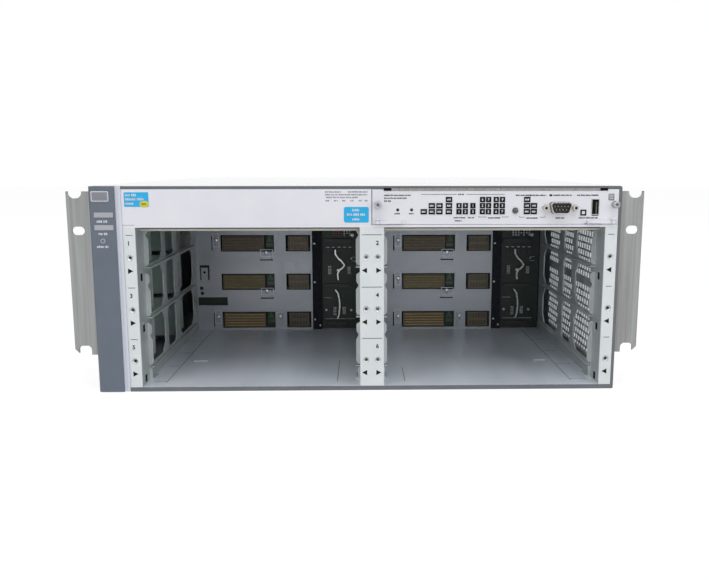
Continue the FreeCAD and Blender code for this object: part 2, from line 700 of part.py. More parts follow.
def back_plate(edge, tab_rows):
    """Steel plate in front of the circuit board, with two windows a slot and pressed tabs."""
    x0 = edge + POST_WIDTH
    x1 = edge + PLATE_WIDTH * BAY_RATIO
    sheet = box(x0, x1, BACK_PLATE_Y, BACK_PLATE_Y + SHEET, FLOOR_TOP, SHELF_UNDER)
    left, right = window_span(edge, BIG_WINDOW)
    tools = []
    added = []
    for row in range(SLOTS):
        z0 = slot_base(row) + WINDOW_RISE
        z1 = z0 + WINDOW_HEIGHT
        for window in (BIG_WINDOW, SMALL_WINDOW):
            w0, w1 = window_span(edge, window)
            tools.append(plate_box(w0, w1, z0, z1))
        if row in tab_rows:
            tab_x = left - TAB_GAP - TAB_REACH
            added.append(pressed_tab(tab_x, left - TAB_GAP, z0 + TAB_TRIM, z1 - TAB_TRIM))
            tools.append(plate_box(tab_x - TAB_SLOT, tab_x, z0 + TAB_TRIM, z1 - TAB_TRIM))
        if row == 0:
            outset, width = SIDE_TAB
            added.append(pressed_tab(right + outset, right + outset + width,
                                     z0 + 2 * TAB_TRIM, z1 - 2 * TAB_TRIM))
            continue
        inset, width = LOW_TAB
        low_x = right - inset
        low_z = z0 - TAB_GAP - TAB_REACH
        added.append(pressed_tab(low_x, low_x + width, low_z, z0 - TAB_GAP))
        tools.append(plate_box(low_x - 2 * TAB_TRIM, low_x + width + 2 * TAB_TRIM,
                               low_z - TAB_SLOT, low_z))
    half = SPACER_SIZE / 2
    for x in (x0 + SPACER_INSET, x1 - SPACER_INSET):
        for z in (FLOOR_TOP + SPACER_RISE, SHELF_UNDER - SPACER_INSET):
            added.append(box(x - half, x + half, BACK_PLATE_Y + SHEET, BOARD_Y, z - half, z + half))
    return cut(fuse([sheet] + added), tools)


def back_plate_left():
    """The left plate also has a lock tongue, two round holes and an inspection window."""
    edge = BAY_EDGES[0]
    lock_x = edge + LOCK_START
    z0, z1 = LOCK_LEVELS
    side, low = LOCK_TONGUE
    peep_x = edge + POST_WIDTH + TAB_GAP
    tools = [
        plate_box(peep_x, peep_x + PEEP_WIDTH * BAY_RATIO, PEEP_LEVELS[0], PEEP_LEVELS[1]),
        plate_box(lock_x, lock_x + LOCK_WIDTH, z0, z1),
    ]
    for start, level in PEG_HOLES:
        tools.append(peg_y(edge + start, level, PEG_HOLE_R, BACK_PLATE_Y - PAST, BOARD_Y))
    tongue = box(lock_x + side, lock_x + LOCK_WIDTH - side, BACK_PLATE_Y - SHEET, BACK_PLATE_Y,
                 z0 - low, z1 - 2 * low)
    bridge = box(lock_x + side, lock_x + LOCK_WIDTH - side, BACK_PLATE_Y - SHEET,
                 BACK_PLATE_Y + SHEET, z0 - 2 * low, z0)
    return fuse([cut(back_plate(edge, (0, 2)), tools), tongue, bridge])


def backplane_board():
    return box(LEFT_WALL_X, RIGHT_WALL_X, BOARD_Y, BOARD_Y + BOARD_SHEET, FLOOR_TOP,
               CEILING - BOARD_TOP_GAP)


def socket(x0, x1, z0, z1, front, rows):
    """A connector body on the board, with a groove for each row of contacts."""
    body = box(x0, x1, front, BOARD_Y, z0, z1)
    pitch = (z1 - z0) / rows
    grooves = []
    for i in range(rows):
        z = z0 + (i + 0.5) * pitch
        grooves.append(box(x0 + GROOVE_INSET, x1 - GROOVE_INSET, front - PAST, front + GROOVE_DEPTH,
                           z - pitch / 5, z + pitch / 5))
    return cut(body, grooves)


def slot_sockets(start, width, rows):
    """One connector for each slot, seen through its window."""
    bodies = []
    for edge in BAY_EDGES:
        x0 = edge + start * BAY_RATIO + PLUG_MARGIN
        for row in range(SLOTS):
            z0 = slot_base(row) + WINDOW_RISE + PLUG_MARGIN / 2
            z1 = slot_base(row) + WINDOW_RISE + WINDOW_HEIGHT - PLUG_MARGIN
            bodies.append(socket(x0, x0 + width * BAY_RATIO, z0, z1, BACK_PLATE_Y + SHEET, rows))
    return Part.makeCompound(bodies)


def air_seals():
    """Black foam strip beside each back plate, against the board."""
    strips = []
    for edge in BAY_EDGES:
        x0 = edge + PLATE_WIDTH * BAY_RATIO
        strips.append(box(x0, x0 + SEAL_WIDTH * BAY_RATIO, BACK_PLATE_Y, BOARD_Y,
                          FLOOR_TOP, SHELF_UNDER))
    return Part.makeCompound(strips)


def bent_line(points):
    """The points of a line with every corner cut off, as a strip bends."""
    line = [points[0]]
    for before, here, after in zip(points, points[1:], points[2:]):
        for end in (before, after):
            line.append(tuple(h + (e - h) * STRAP_BEND for h, e in zip(here, end)))
    return line + [points[-1]]


def strap(points):
    """A springy strip on edge on the board, bent along a line of (x, z) points."""
    wire = Part.makePolygon([Vector(x, 0, z) for x, z in bent_line(points)])
    outline = wire.makeOffset2D(STRAP_SHEET / 2, 2, False, False)
    solid = Part.Face(outline).extrude(Vector(0, STRAP_WIDTH, 0))
    solid.translate(Vector(0, BOARD_Y - STRAP_WIDTH, 0))
    return solid


def ground_straps():
    """Two bent contact straps on the open part of the board in each bay."""
    straps = []
    for edge in BAY_EDGES:
        x = edge + STRAP_X * BAY_RATIO
        for points in (UPPER_STRAP, LOWER_STRAP):
            straps.append(strap([(x + dx, z) for dx, z in points]))
    return Part.makeCompound(straps)


def plug_middle():
    return MODULE_LEFT + PLUG_AT * FACE_RATIO


def plug_half():
    """Half the width of the plug's tongue."""
    return PLUG_WIDTH * FACE_RATIO / 2


def management_socket():
    """Socket on the board that the management module plugs into."""
    x = plug_middle()
    z = PLUG_LEVEL
    front = BOARD_Y - SOCKET_DEPTH
    half = plug_half() + SOCKET_SHOULDER
    body = box(x - half, x + half, front, BOARD_Y, z - SOCKET_HEIGHT / 2, z + SOCKET_HEIGHT / 2)
    slot_half = plug_half() + RUN_GAP
    tongue = PLUG_TONGUE / 2 + RUN_GAP
    return body.cut(box(x - slot_half, x + slot_half, front - PAST, front + PLUG_INSERT + RUN_GAP,
                        z - tongue, z + tongue))


# ---- bezel, ears ----------------------------------------------------------------------------
def lens_box(drop, y0, y1):
    x0 = -HALF + LENS_INSET
    level = BODY_HEIGHT - drop
    return box(x0, x0 + LENS_WIDTH, y0, y1, level, level + LENS_HEIGHT)


def bezel():
    """Moulded cap over the front of the fan bay: rounded outer edge, hollow behind."""
    front = -BEZEL_PROUD
    solid = box(-HALF, BEZEL_RIGHT, front, BEZEL_BACK, BEZEL_LIFT, BEZEL_TOP)
    outer_edge = [
        e for e in solid.Edges
        if all(abs(v.X + HALF) < 0.01 and abs(v.Y - front) < 0.01 for v in e.Vertexes)
    ]
    solid = solid.makeFillet(BEZEL_ROUND, outer_edge)
    inside = box(-HALF + BEZEL_WALL, BEZEL_RIGHT - BEZEL_WALL, front + BEZEL_WALL, BEZEL_BACK + PAST,
                 BEZEL_LIFT + BEZEL_WALL, BEZEL_TOP - BEZEL_WALL)
    badge_x = -HALF + BEZEL_PROUD
    badge_z = BODY_HEIGHT - BADGE_DROP
    through = front + BEZEL_WALL + PAST
    tools = [inside, box(badge_x, badge_x + BADGE_WIDTH, front - PAST, front + BADGE_RECESS,
                         badge_z, badge_z + BADGE_HEIGHT)]
    tools += [lens_box(drop, front - PAST, through) for drop in LENS_DROPS]
    tools.append(peg_y(BEZEL_MIDDLE, BODY_HEIGHT - LOCATOR_DROP, LOCATOR_R, front - PAST, through,
                       ROUND_SIDES))
    return cut(solid, tools)


def bezel_lenses():
    """Two light bars and a round light that fill their windows in the bezel."""
    front = -BEZEL_PROUD - LENS_PROUD
    back = -BEZEL_PROUD + BEZEL_WALL
    lenses = [lens_box(drop, front, back) for drop in LENS_DROPS]
    lenses.append(peg_y(BEZEL_MIDDLE, BODY_HEIGHT - LOCATOR_DROP, LOCATOR_R, front, back,
                        ROUND_SIDES))
    return Part.makeCompound(lenses)


def bezel_trim():
    """Bright strip between the bezel and the left bay, with a shallow groove down its face."""
    width, depth = TRIM_GROOVE
    strip = box(BEZEL_RIGHT, BAY_EDGES[0], -TRIM_PROUD, BEZEL_BACK, BEZEL_LIFT, BEZEL_TOP)
    middle = (BEZEL_RIGHT + BAY_EDGES[0]) / 2
    groove = box(middle - width / 2, middle + width / 2, -TRIM_PROUD - PAST, -TRIM_PROUD + depth,
                 BEZEL_LIFT - PAST, BEZEL_TOP + PAST)
    return strip.cut(groove)


def rack_ear():
    """Right-hand angle bracket: slotted front flange and an arm along the chassis."""
    outer = PANEL_WIDTH / 2
    slot_x = outer - RACK_HOLE_INSET
    front = EAR_SETBACK
    outline = [
        (HALF, EAR_BOTTOM), (outer - EAR_CORNER, EAR_BOTTOM), (outer, EAR_BOTTOM + EAR_CORNER),
        (outer, EAR_TOP), (HALF, EAR_TOP),
    ]
    flange = prism_y(outline, front, front + EAR_SHEET)
    arm = box(HALF, HALF + EAR_SHEET, front, front + EAR_ARM, EAR_BOTTOM, EAR_TOP)
    y0 = front - PAST
    y1 = front + EAR_SHEET + PAST
    r = EAR_SLOT_R
    half = EAR_SLOT_LENGTH / 2 - r
    length, notch_r, outward = UPPER_NOTCH
    notch_x = slot_x + outward
    notch_half = length / 2 - notch_r
    tools = [
        rod_y(slot_x - half, EAR_SLOT_LEVEL, r, y0, y1),
        rod_y(slot_x + half, EAR_SLOT_LEVEL, r, y0, y1),
        box(slot_x - half, slot_x + half, y0, y1, EAR_SLOT_LEVEL - r, EAR_SLOT_LEVEL + r),
        rod_y(notch_x - notch_half, EAR_UPPER_NOTCH, notch_r, y0, y1),
        rod_y(notch_x + notch_half, EAR_UPPER_NOTCH, notch_r, y0, y1),
        box(notch_x - notch_half, notch_x + notch_half, y0, y1,
            EAR_UPPER_NOTCH - notch_r, EAR_TOP + PAST),
        rod_y(slot_x - half, EAR_LOWER_NOTCH, r, y0, y1),
        rod_y(slot_x + half, EAR_LOWER_NOTCH, r, y0, y1),
        box(slot_x - r - half, slot_x + r + half, y0, y1, EAR_BOTTOM - PAST, EAR_LOWER_NOTCH),
        box(slot_x - half, slot_x + half, y0, y1, EAR_LOWER_NOTCH - PAST, EAR_LOWER_NOTCH + r),
    ]
    for y, z in ear_screw_places():
        tools.append(peg_x(y, z, SCREW_SHANK_R, HALF - PAST, HALF + EAR_SHEET + PAST))
    return cut(fuse([flange, arm]), tools)


def rack_ear_screws():
    """Three button-head screws through each ear's arm into the cover."""
    screws = []
    outside = HALF + EAR_SHEET
    for y, z in ear_screw_places():
        shank = peg_x(y, z, SCREW_SHANK_R, INNER, outside)
        head = peg_x(y, z, SCREW_HEAD_R, outside, outside + SCREW_HEAD_DEPTH, ROUND_SIDES)
        screw = fuse([shank, head])
        screws += [screw, mirror_x(screw)]
    return Part.makeCompound(screws)


# ---- management module -------------------------------------------------------------------------
def on_face(place):
    """X of a place along the faceplate."""
    return MODULE_LEFT + place * FACE_RATIO


def thumb_places():
    """(x, way out) of the two captive screws."""
    return [(MODULE_LEFT + THUMB_INSET[0], -1), (MODULE_RIGHT - THUMB_INSET[1], 1)]


def ejector_pivots():
    """(x, way to the free end) of the two ejector levers."""
    return [(MODULE_LEFT + EJECTOR_INSET, 1), (MODULE_RIGHT - EJECTOR_INSET, -1)]


def serial_outline(grow):
    """D-shaped outline of the nine-pin port, wider at the top."""
    x = on_face(SERIAL_AT)
    z = SERIAL_LEVEL
    w = SERIAL_SHELL[0] / 2 + grow
    h = SERIAL_SHELL[1] / 2 + grow
    slope = SERIAL_SLOPE
    c = SERIAL_CORNER
    return [
        (x - w + slope + c, z - h), (x + w - slope - c, z - h), (x + w - slope, z - h + c),
        (x + w, z + h - c), (x + w - c, z + h), (x - w + c, z + h), (x - w, z + h - c),
        (x - w + slope, z - h + c),
    ]


def jack_places():
    return [on_face(SERIAL_AT) + way * SERIAL_JACK_PITCH / 2 for way in (-1, 1)]


def module_faceplate():
    """Faceplate with raised ends, cut for the ports, buttons and screws, and two lever lugs."""
    z0 = MODULE_BOTTOM
    z1 = MODULE_TOP
    up = z1 + MODULE_EAR_RISE
    outline = [
        (MODULE_LEFT, z0), (MODULE_RIGHT, z0), (MODULE_RIGHT, up),
        (MODULE_RIGHT - MODULE_EAR_WIDTH, up), (MODULE_RIGHT - MODULE_EAR_WIDTH, z1),
        (MODULE_LEFT + MODULE_EAR_WIDTH, z1), (MODULE_LEFT + MODULE_EAR_WIDTH, up), (MODULE_LEFT, up),
    ]
    solids = [prism_y(outline, 0, MODULE_PLATE)]
    lug_y = -EJECTOR_SHEET / 2 - RUN_GAP
    lug_z = SHELF_TOP + EJECTOR_RISE + EJECTOR_HEIGHT + RUN_GAP
    for x, way in ejector_pivots():
        lug = box(x - LUG_WIDTH / 2, x + LUG_WIDTH / 2, 2 * lug_y, 0, lug_z, lug_z + SHEET)
        solids.append(lug.cut(peg_z(x, lug_y, EJECTOR_PIN_R + RUN_GAP, lug_z - PAST,
                                    lug_z + SHEET + PAST)))
    back = MODULE_PLATE + PAST
    usb_x = on_face(USB_AT)
    usb_z = SHELF_TOP + USB_RISE
    w, h = USB_SIZE
    tools = [
        prism_y(serial_outline(RUN_GAP), -PAST, back),
        box(usb_x - w / 2, usb_x + w / 2, -PAST, back, usb_z - h / 2, usb_z + h / 2),
        peg_y(on_face(MODE_BUTTON_AT), SHELF_TOP + MODE_BUTTON_RISE, MODE_BUTTON_R + RUN_GAP,
              -PAST, back, ROUND_SIDES),
    ]
    for place in PIN_BUTTONS:
        tools.append(peg_y(on_face(place), SHELF_TOP + PIN_BUTTON_RISE, PIN_BUTTON_R + RUN_GAP,
                           -PAST, back))
    for x, way in thumb_places():
        tools.append(peg_y(x, THUMB_LEVEL, THUMB_SHANK_R + RUN_GAP, -PAST, back))
    for x in jack_places():
        tools.append(peg_y(x, SERIAL_LEVEL, JACK_SHANK_R, -PAST, back, 6))
    return cut(fuse(solids), tools)


def module_tray():
    """Sheet tray behind the faceplate, with four bosses under the board."""
    x0 = MODULE_LEFT + MODULE_SIDE_INSET
    x1 = MODULE_RIGHT - MODULE_SIDE_INSET
    y0 = MODULE_PLATE
    y1 = MODULE_BACK
    z0 = MODULE_BOTTOM
    parts = [
        box(x0, x1, y0, y1, z0, z0 + SHEET),
        box(x0, x0 + SHEET, y0, y1, z0, z0 + MODULE_TRAY_SIDE),
        box(x1 - SHEET, x1, y0, y1, z0, z0 + MODULE_TRAY_SIDE),
    ]
    inset_x, inset_y = BOSS_INSET
    for x in (x0 + inset_x, x1 - inset_x):
        for y in (y0 + inset_y, y1 - inset_y):
            parts.append(box(x - BOSS_HALF, x + BOSS_HALF, y - BOSS_HALF, y + BOSS_HALF,
                             z0 + SHEET, MODULE_BOARD_LEVEL))
    notches = [
        peg_y(x, THUMB_LEVEL, THUMB_HEAD_R, y0 - PAST, y0 + THUMB_NOTCH) for x, way in thumb_places()
    ]
    return cut(fuse(parts), notches)


def module_board():
    inset = MODULE_SIDE_INSET + SHEET + MODULE_BOARD_INSET
    return box(MODULE_LEFT + inset, MODULE_RIGHT - inset, MODULE_PLATE + PAST, MODULE_BOARD_BACK,
               MODULE_BOARD_LEVEL, BOARD_TOP)


def module_plug():
    """Plug at the board's back edge; its tongue stands in the socket."""
    face = BOARD_Y - SOCKET_DEPTH - RUN_GAP
    x = plug_middle()
    half = plug_half()
    z = PLUG_LEVEL
    body = box(x - half - PLUG_SHOULDER, x + half + PLUG_SHOULDER, MODULE_BOARD_BACK - PLUG_LAP,
               face, BOARD_TOP, z + PLUG_TONGUE)
    tongue = box(x - half, x + half, face, face + PLUG_INSERT,
                 z - PLUG_TONGUE / 2, z + PLUG_TONGUE / 2)
    return fuse([body, tongue])


def serial_port_shell():
    """Metal D shell that stands out of the faceplate, with its mounting flange behind."""
    x = on_face(SERIAL_AT)
    z = SERIAL_LEVEL
    width, height, sheet = SERIAL_FLANGE
    tube = prism_y(serial_outline(0), -SERIAL_PROUD, MODULE_PLATE)
    flange = box(x - width / 2, x + width / 2, MODULE_PLATE, MODULE_PLATE + sheet,
                 z - height / 2, z + height / 2)
    bore = prism_y(serial_outline(-SHELL_SHEET), -SERIAL_PROUD - PAST, MODULE_PLATE + sheet + PAST)
    holes = [
        peg_y(jack_x, z, JACK_SHANK_R, MODULE_PLATE - PAST, MODULE_PLATE + sheet + PAST, 6)
        for jack_x in jack_places()
    ]
    return cut(fuse([tube, flange]), [bore] + holes)


def serial_port_insert():
    """Black insulator inside the shell, on the board, with nine pins."""
    x = on_face(SERIAL_AT)
    z = SERIAL_LEVEL
    width, height, sheet = SERIAL_FLANGE
    behind = MODULE_PLATE + sheet
    front = prism_y(serial_outline(-SHELL_SHEET), -SHELL_SHEET, behind)
    block = box(x - width / 2, x + width / 2, behind, behind + SERIAL_BODY_DEPTH, BOARD_TOP,
                z + height / 2)
    half = SERIAL_PIN_SIZE / 2
    pins = []
    for rise, count in ((SERIAL_PIN_RISE, 5), (-SERIAL_PIN_RISE, 4)):
        for i in range(count):
            px = x + (i - (count - 1) / 2) * SERIAL_PIN_PITCH
            pins.append(box(px - half, px + half, -SERIAL_PROUD + PAST, 0,
                            z + rise - half, z + rise + half))
    return fuse([front, block] + pins)


def jack_screws():
    """Hexagonal jack screws beside the serial port."""
    screws = []
    z = SERIAL_LEVEL
    for x in jack_places():
        head = peg_y(x, z, JACK_R, -JACK_PROUD, 0, 6)
        shank = peg_y(x, z, JACK_SHANK_R, 0, MODULE_PLATE + SERIAL_FLANGE[2], 6)
        bore = peg_y(x, z, JACK_BORE_R, -JACK_PROUD - PAST, -PAST)
        screws.append(fuse([head, shank]).cut(bore))
    return Part.makeCompound(screws)


def usb_port():
    """Upright port: a metal shell with a flat tongue inside, standing on the board."""
    x = on_face(USB_AT)
    z = SHELF_TOP + USB_RISE
    w = USB_SIZE[0] / 2
    h = USB_SIZE[1] / 2
    t = SHELL_SHEET
    shell = box(x - w, x + w, -USB_PROUD, USB_DEPTH, z - h, z + h)
    cavity = box(x - w + t, x + w - t, -USB_PROUD - PAST, USB_DEPTH - 3 * t, z - h + t, z + h - t)
    tongue = box(x - USB_TONGUE / 2, x + USB_TONGUE / 2, PAST, USB_DEPTH - 2 * t,
                 z - h + 3 * t, z + h - 3 * t)
    foot = box(x - w, x + w, MODULE_PLATE, USB_DEPTH, BOARD_TOP, z - h)
    return fuse([shell.cut(cavity), tongue, foot])


def led_windows():
    """Small dark windows of the status lights, in three ranks on the faceplate."""
    windows = []
    groups = [
        (LED_WIDE_PLACES, LED_WIDE_COUNTS, LED_WIDE),
        (LED_NARROW_PLACES, LED_NARROW_COUNTS, LED_NARROW),
    ]
    for places, counts, width in groups:
        half = width * FACE_RATIO / 2
        for place, count in zip(places, counts):
            x = on_face(place)
            for rise in LED_RISES[:count]:
                z = SHELF_TOP + rise
                windows.append(box(x - half, x + half, -LED_SHEET, 0,
                                   z - LED_HEIGHT / 2, z + LED_HEIGHT / 2))
    return Part.makeCompound(windows)


def captive_screw(x):
    """Thumb screw: slotted head in front, thin shank through the faceplate."""
    face = -RUN_GAP
    tip = face - THUMB_HEAD_DEPTH
    width, depth = THUMB_SLOT
    head = rod_y(x, THUMB_LEVEL, THUMB_HEAD_R, tip, face)
    shank = peg_y(x, THUMB_LEVEL, THUMB_SHANK_R, face, MODULE_PLATE + THUMB_SHANK_PAST)
    slot = box(x - width / 2, x + width / 2, tip - PAST, tip + depth,
               THUMB_LEVEL - 2 * THUMB_HEAD_R, THUMB_LEVEL + 2 * THUMB_HEAD_R)
    return fuse([head, shank]).cut(slot)


def ejector(x, way):
    """Lever along the faceplate's lower edge: round at its pin, with a turned-out tip."""
    half = EJECTOR_SHEET / 2
    y = -half - RUN_GAP
    z0 = SHELF_TOP + EJECTOR_RISE
    z1 = z0 + EJECTOR_HEIGHT
    tip = x + way * (EJECTOR_LENGTH - half)
    tip_inside = tip - way * EJECTOR_ARM_SHEET
    arm_y = -RUN_GAP
    arm = box(min(x, tip), max(x, tip), arm_y - EJECTOR_ARM_SHEET, arm_y, z0, z1)
    lip = box(min(tip, tip_inside), max(tip, tip_inside), arm_y - EJECTOR_LIP, arm_y, z0, z1)
    knuckle = rod_z(x, y, half, z0, z1)
    pin = peg_z(x, y, EJECTOR_PIN_R, z1, z1 + RUN_GAP + SHEET)
    return fuse([arm, lip, knuckle, pin])


def push_button(x, z, r, front, sides):
    """A plunger in its hole, with a collar that keeps it behind the faceplate."""
    plunger = peg_y(x, z, r, front, MODULE_PLATE + BUTTON_LENGTH, sides)
    collar_y = MODULE_PLATE + RUN_GAP
    collar = peg_y(x, z, r + BUTTON_COLLAR, collar_y, collar_y + BUTTON_COLLAR, sides)
    return fuse([plunger, collar])


# ---- fan tray ---------------------------------------------------------------------------------
def tray_span():
    """Inner and outer X limits of the tray in its bay."""
    return -INNER + SHEET + RUN_GAP, LEFT_WALL_X - SHEET - RUN_GAP


def fan_places():
    """(y, z) of every fan's axis."""
    return [(y, z) for y in FAN_COLUMNS for z in fan_levels()]


def fan_tray():
    """Long sheet tray: bottom, a side plate with a round hole for each fan, and a rear plate."""
    x0, x1 = tray_span()
    z0 = FLOOR_TOP + RUN_GAP
    side = box(x0, x0 + SHEET, TRAY_FRONT, REAR_FACE, z0, TRAY_TOP)
    bottom = box(x0, x1, TRAY_FRONT, REAR_FACE, z0, z0 + SHEET)
    lip = box(x0, x1, TRAY_FRONT, REAR_FACE, TRAY_TOP, TRAY_TOP + SHEET)
    plate = box(x0 - TRAY_FLANGE, x1 + TRAY_FLANGE, REAR_FACE, REAR_FACE + SHEET,
                z0, TRAY_TOP + SHEET + TRAY_FLANGE)
    holes = [
        peg_x(y, z, FAN_BORE_R, x0 - PAST, x0 + SHEET + PAST, FAN_SIDES) for y, z in fan_places()
    ]
    grip_z = TRAY_TOP - GRIP_DROP
    grip = box(x0 + GRIP_INSET, x1 - GRIP_INSET, REAR_FACE - PAST, REAR_FACE + SHEET + PAST,
               grip_z, grip_z + GRIP_HEIGHT)
    return cut(fuse([side, bottom, lip, plate]), holes + [grip])


def fan_frames():
    """Six square fan housings on the tray's side plate: bore, three arms, motor and shaft."""
    x0 = tray_span()[0] + SHEET
    x1 = x0 + FAN_DEPTH
    half = FAN_SIZE / 2
    frames = []
    for y, z in fan_places():
        body = box(x0, x1, y - half, y + half, z - half, z + half)
        body = body.cut(peg_x(y, z, FAN_BORE_R, x0 - PAST, x1 + PAST, FAN_SIDES))
        arms = []
        for i in range(3):
            arm = box(x0, x0 + FAN_ARM, y - FAN_ARM / 2, y + FAN_ARM / 2, z, z + half - SHEET / 2)
            arm.rotate(Vector(0, y, z), Vector(1, 0, 0), 120 * i)
            arms.append(arm)
        motor = peg_x(y, z, FAN_HUB_R - PAST, x0, x0 + MOTOR_DEPTH)
        shaft = peg_x(y, z, FAN_SHAFT_R, x0, x1 - FAN_SHAFT_SHORT)
        frames.append(fuse([body, motor, shaft] + arms))
    return Part.makeCompound(frames)


def rotor(hub_r, bore_r, tip_r, length, sheet, through):
    """A fan's rotor on the X axis, from x = 0: a many-sided hub, a round bore and flat tilted
    blades whose corners stay inside tip_r."""
    chord = length - FAN_BLADE_SHORT
    tilt = math.radians(FAN_BLADE_TILT)
    aside = chord / 2 * math.sin(tilt) + sheet / 2
    reach = math.sqrt(tip_r ** 2 - aside ** 2)
    hub = peg_x(0, 0, hub_r, 0, length)
    blades = []
    for i in range(FAN_BLADES):
        plate = box(-chord / 2, chord / 2, -sheet / 2, sheet / 2, hub_r - PAST, reach)
        plate.rotate(Vector(0, 0, 0), Vector(0, 0, 1), FAN_BLADE_TILT)
        plate.rotate(Vector(0, 0, 0), Vector(1, 0, 0), 360 / FAN_BLADES * i)
        plate.translate(Vector(length / 2, 0, 0))
        blades.append(plate)
    end = length + PAST if through else length - MOTOR_DEPTH
    return fuse([hub] + blades).cut(rod_x(0, 0, bore_r, -PAST, end))


def impeller(y, z):
    """Seven-blade rotor that runs on the fan's shaft."""
    x0 = tray_span()[0] + SHEET + MOTOR_DEPTH + RUN_GAP
    length = FAN_DEPTH - MOTOR_DEPTH - RUN_GAP - 2 * PAST
    bore = FAN_SHAFT_R / math.cos(math.pi / SMALL_SIDES) + RUN_GAP
    turning = rotor(FAN_HUB_R, bore, FAN_BORE_R - FAN_TIP_GAP, length, FAN_BLADE_SHEET, False)
    turning.translate(Vector(x0, y, z))
    return turning


def fan_tray_screw():
    """Thumb screw at the top of the tray's rear plate."""
    x0, x1 = tray_span()
    x = (x0 + x1) / 2
    z = TRAY_TOP - TRAY_SCREW_DROP
    face = REAR_FACE + SHEET + RUN_GAP
    head = rod_y(x, z, THUMB_HEAD_R, face, face + THUMB_HEAD_DEPTH)
    shank = peg_y(x, z, THUMB_SHANK_R, face - RUN_GAP, face)
    return fuse([head, shank])


# ---- rear of the chassis ------------------------------------------------------------------------
def psu_left():
    """Left side of the fitted supply."""
    return RIGHT_EDGE - PSU_BAY_EDGE - PSU_REAL_WIDTH


def blank_left():
    return LEFT_WALL_X + PSU_BAY_EDGE


def rear_panel():
    """Rear sheet with a cut-out for the fan tray, the supply and the spare supply bay."""
    x0, x1 = tray_span()
    z0 = FLOOR_TOP
    top = z0 + PSU_HEIGHT + 2 * RUN_GAP
    sheet = box(-INNER, INNER, REAR_INNER, BODY_DEPTH, SHEET, CEILING)
    past = BODY_DEPTH + PAST
    tools = [box(x0 - RUN_GAP, x1 + RUN_GAP, 0, past, z0, TRAY_TOP + SHEET + RUN_GAP)]
    for left in (psu_left(), blank_left()):
        tools.append(box(left - RUN_GAP, left + PSU_REAL_WIDTH + RUN_GAP, 0, past, z0, top))
    length, height = REAR_VENT
    z = CEILING - REAR_VENT_DROP
    for i in range(REAR_VENTS):
        x = LEFT_WALL_X + (i + 1) * REAR_VENT_PITCH * BAY_RATIO
        tools.append(box(x, x + length * BAY_RATIO, 0, past, z, z + height))
    return cut(sheet, tools)


def psu_blank_cover():
    """Flanged cover over the spare supply bay."""
    left = blank_left()
    right = left + PSU_REAL_WIDTH
    z0 = FLOOR_TOP + RUN_GAP
    z1 = z0 + PSU_HEIGHT
    y0 = BODY_DEPTH - BLANK_DEPTH
    plate = box(left - PSU_LAP, right + PSU_LAP, BODY_DEPTH, BODY_DEPTH + SHEET, z0, z1 + PSU_LAP)
    frame = box(left, right, y0, BODY_DEPTH, z0, z1)
    hollow = box(left + SHEET, right - SHEET, y0 - PAST, BODY_DEPTH, z0 + SHEET, z1 - SHEET)
    return fuse([plate, frame.cut(hollow)])


def psu_place(across):
    """(x, z) of a fitting on the supply's rear face, across from its left side."""
    return psu_left() + across * BAY_RATIO, FLOOR_TOP + RUN_GAP + PSU_HEIGHT / 2


def psu_case():
    """Sheet case with a lapped rear plate: a punched fan guard, and a cut-out for the inlet."""
    left = psu_left()
    right = left + PSU_REAL_WIDTH
    z0 = FLOOR_TOP + RUN_GAP
    z1 = z0 + PSU_HEIGHT
    y1 = REAR_FACE
    y0 = y1 - PSU_DEPTH
    t = PSU_SHEET
    shell = box(left, right, y0, y1, z0, z1).cut(
        box(left + t, right - t, y0 + t, y1 + PAST, z0 + t, z1 - t))
    plate = box(left - PSU_LAP, right + PSU_LAP, y1, y1 + t, z0, z1 + PSU_LAP)
    fan_x, z = psu_place(PSU_FAN_X)
    bar = GUARD_BAR / 2
    reach = PSU_FAN_R + GUARD_BAR
    near = y1 - PAST
    far = y1 + t + PAST
    bars = Part.makeCompound([
        box(fan_x - bar, fan_x + bar, near, far, z - reach, z + reach),
        box(fan_x - reach, fan_x + reach, near, far, z - bar, z + bar),
    ])
    guard = []
    for outer_r, inner_r in GUARD_RINGS:
        ring = peg_y(fan_x, z, outer_r, near, far, FAN_SIDES)
        guard.append(ring.cut(peg_y(fan_x, z, inner_r, near, far, FAN_SIDES)).cut(bars))
    shaft = peg_y(fan_x, z, PSU_SHAFT_R, y1 - PSU_FAN_DEPTH - 2 * PAST, y1)
    inlet_x, z = psu_place(INLET_X)
    w = INLET_SIZE[0] / 2
    h = INLET_SIZE[1] / 2
    hole = box(inlet_x - w, inlet_x + w, near, far, z - h, z + h)
    return fuse([cut(fuse([shell, plate]), guard + [hole]), shaft])


def psu_impeller():
    """Rotor of the supply's fan, on a stub shaft behind the guard."""
    fan_x, z = psu_place(PSU_FAN_X)
    bore = PSU_SHAFT_R / math.cos(math.pi / SMALL_SIDES) + RUN_GAP
    turning = rotor(PSU_HUB_R, bore, PSU_FAN_R - FAN_TIP_GAP, PSU_FAN_DEPTH, PSU_BLADE_SHEET, True)
    turning.rotate(Vector(0, 0, 0), Vector(0, 0, 1), 90)
    turning.translate(Vector(fan_x, REAR_FACE - PSU_FAN_DEPTH - RUN_GAP, z))
    return turning


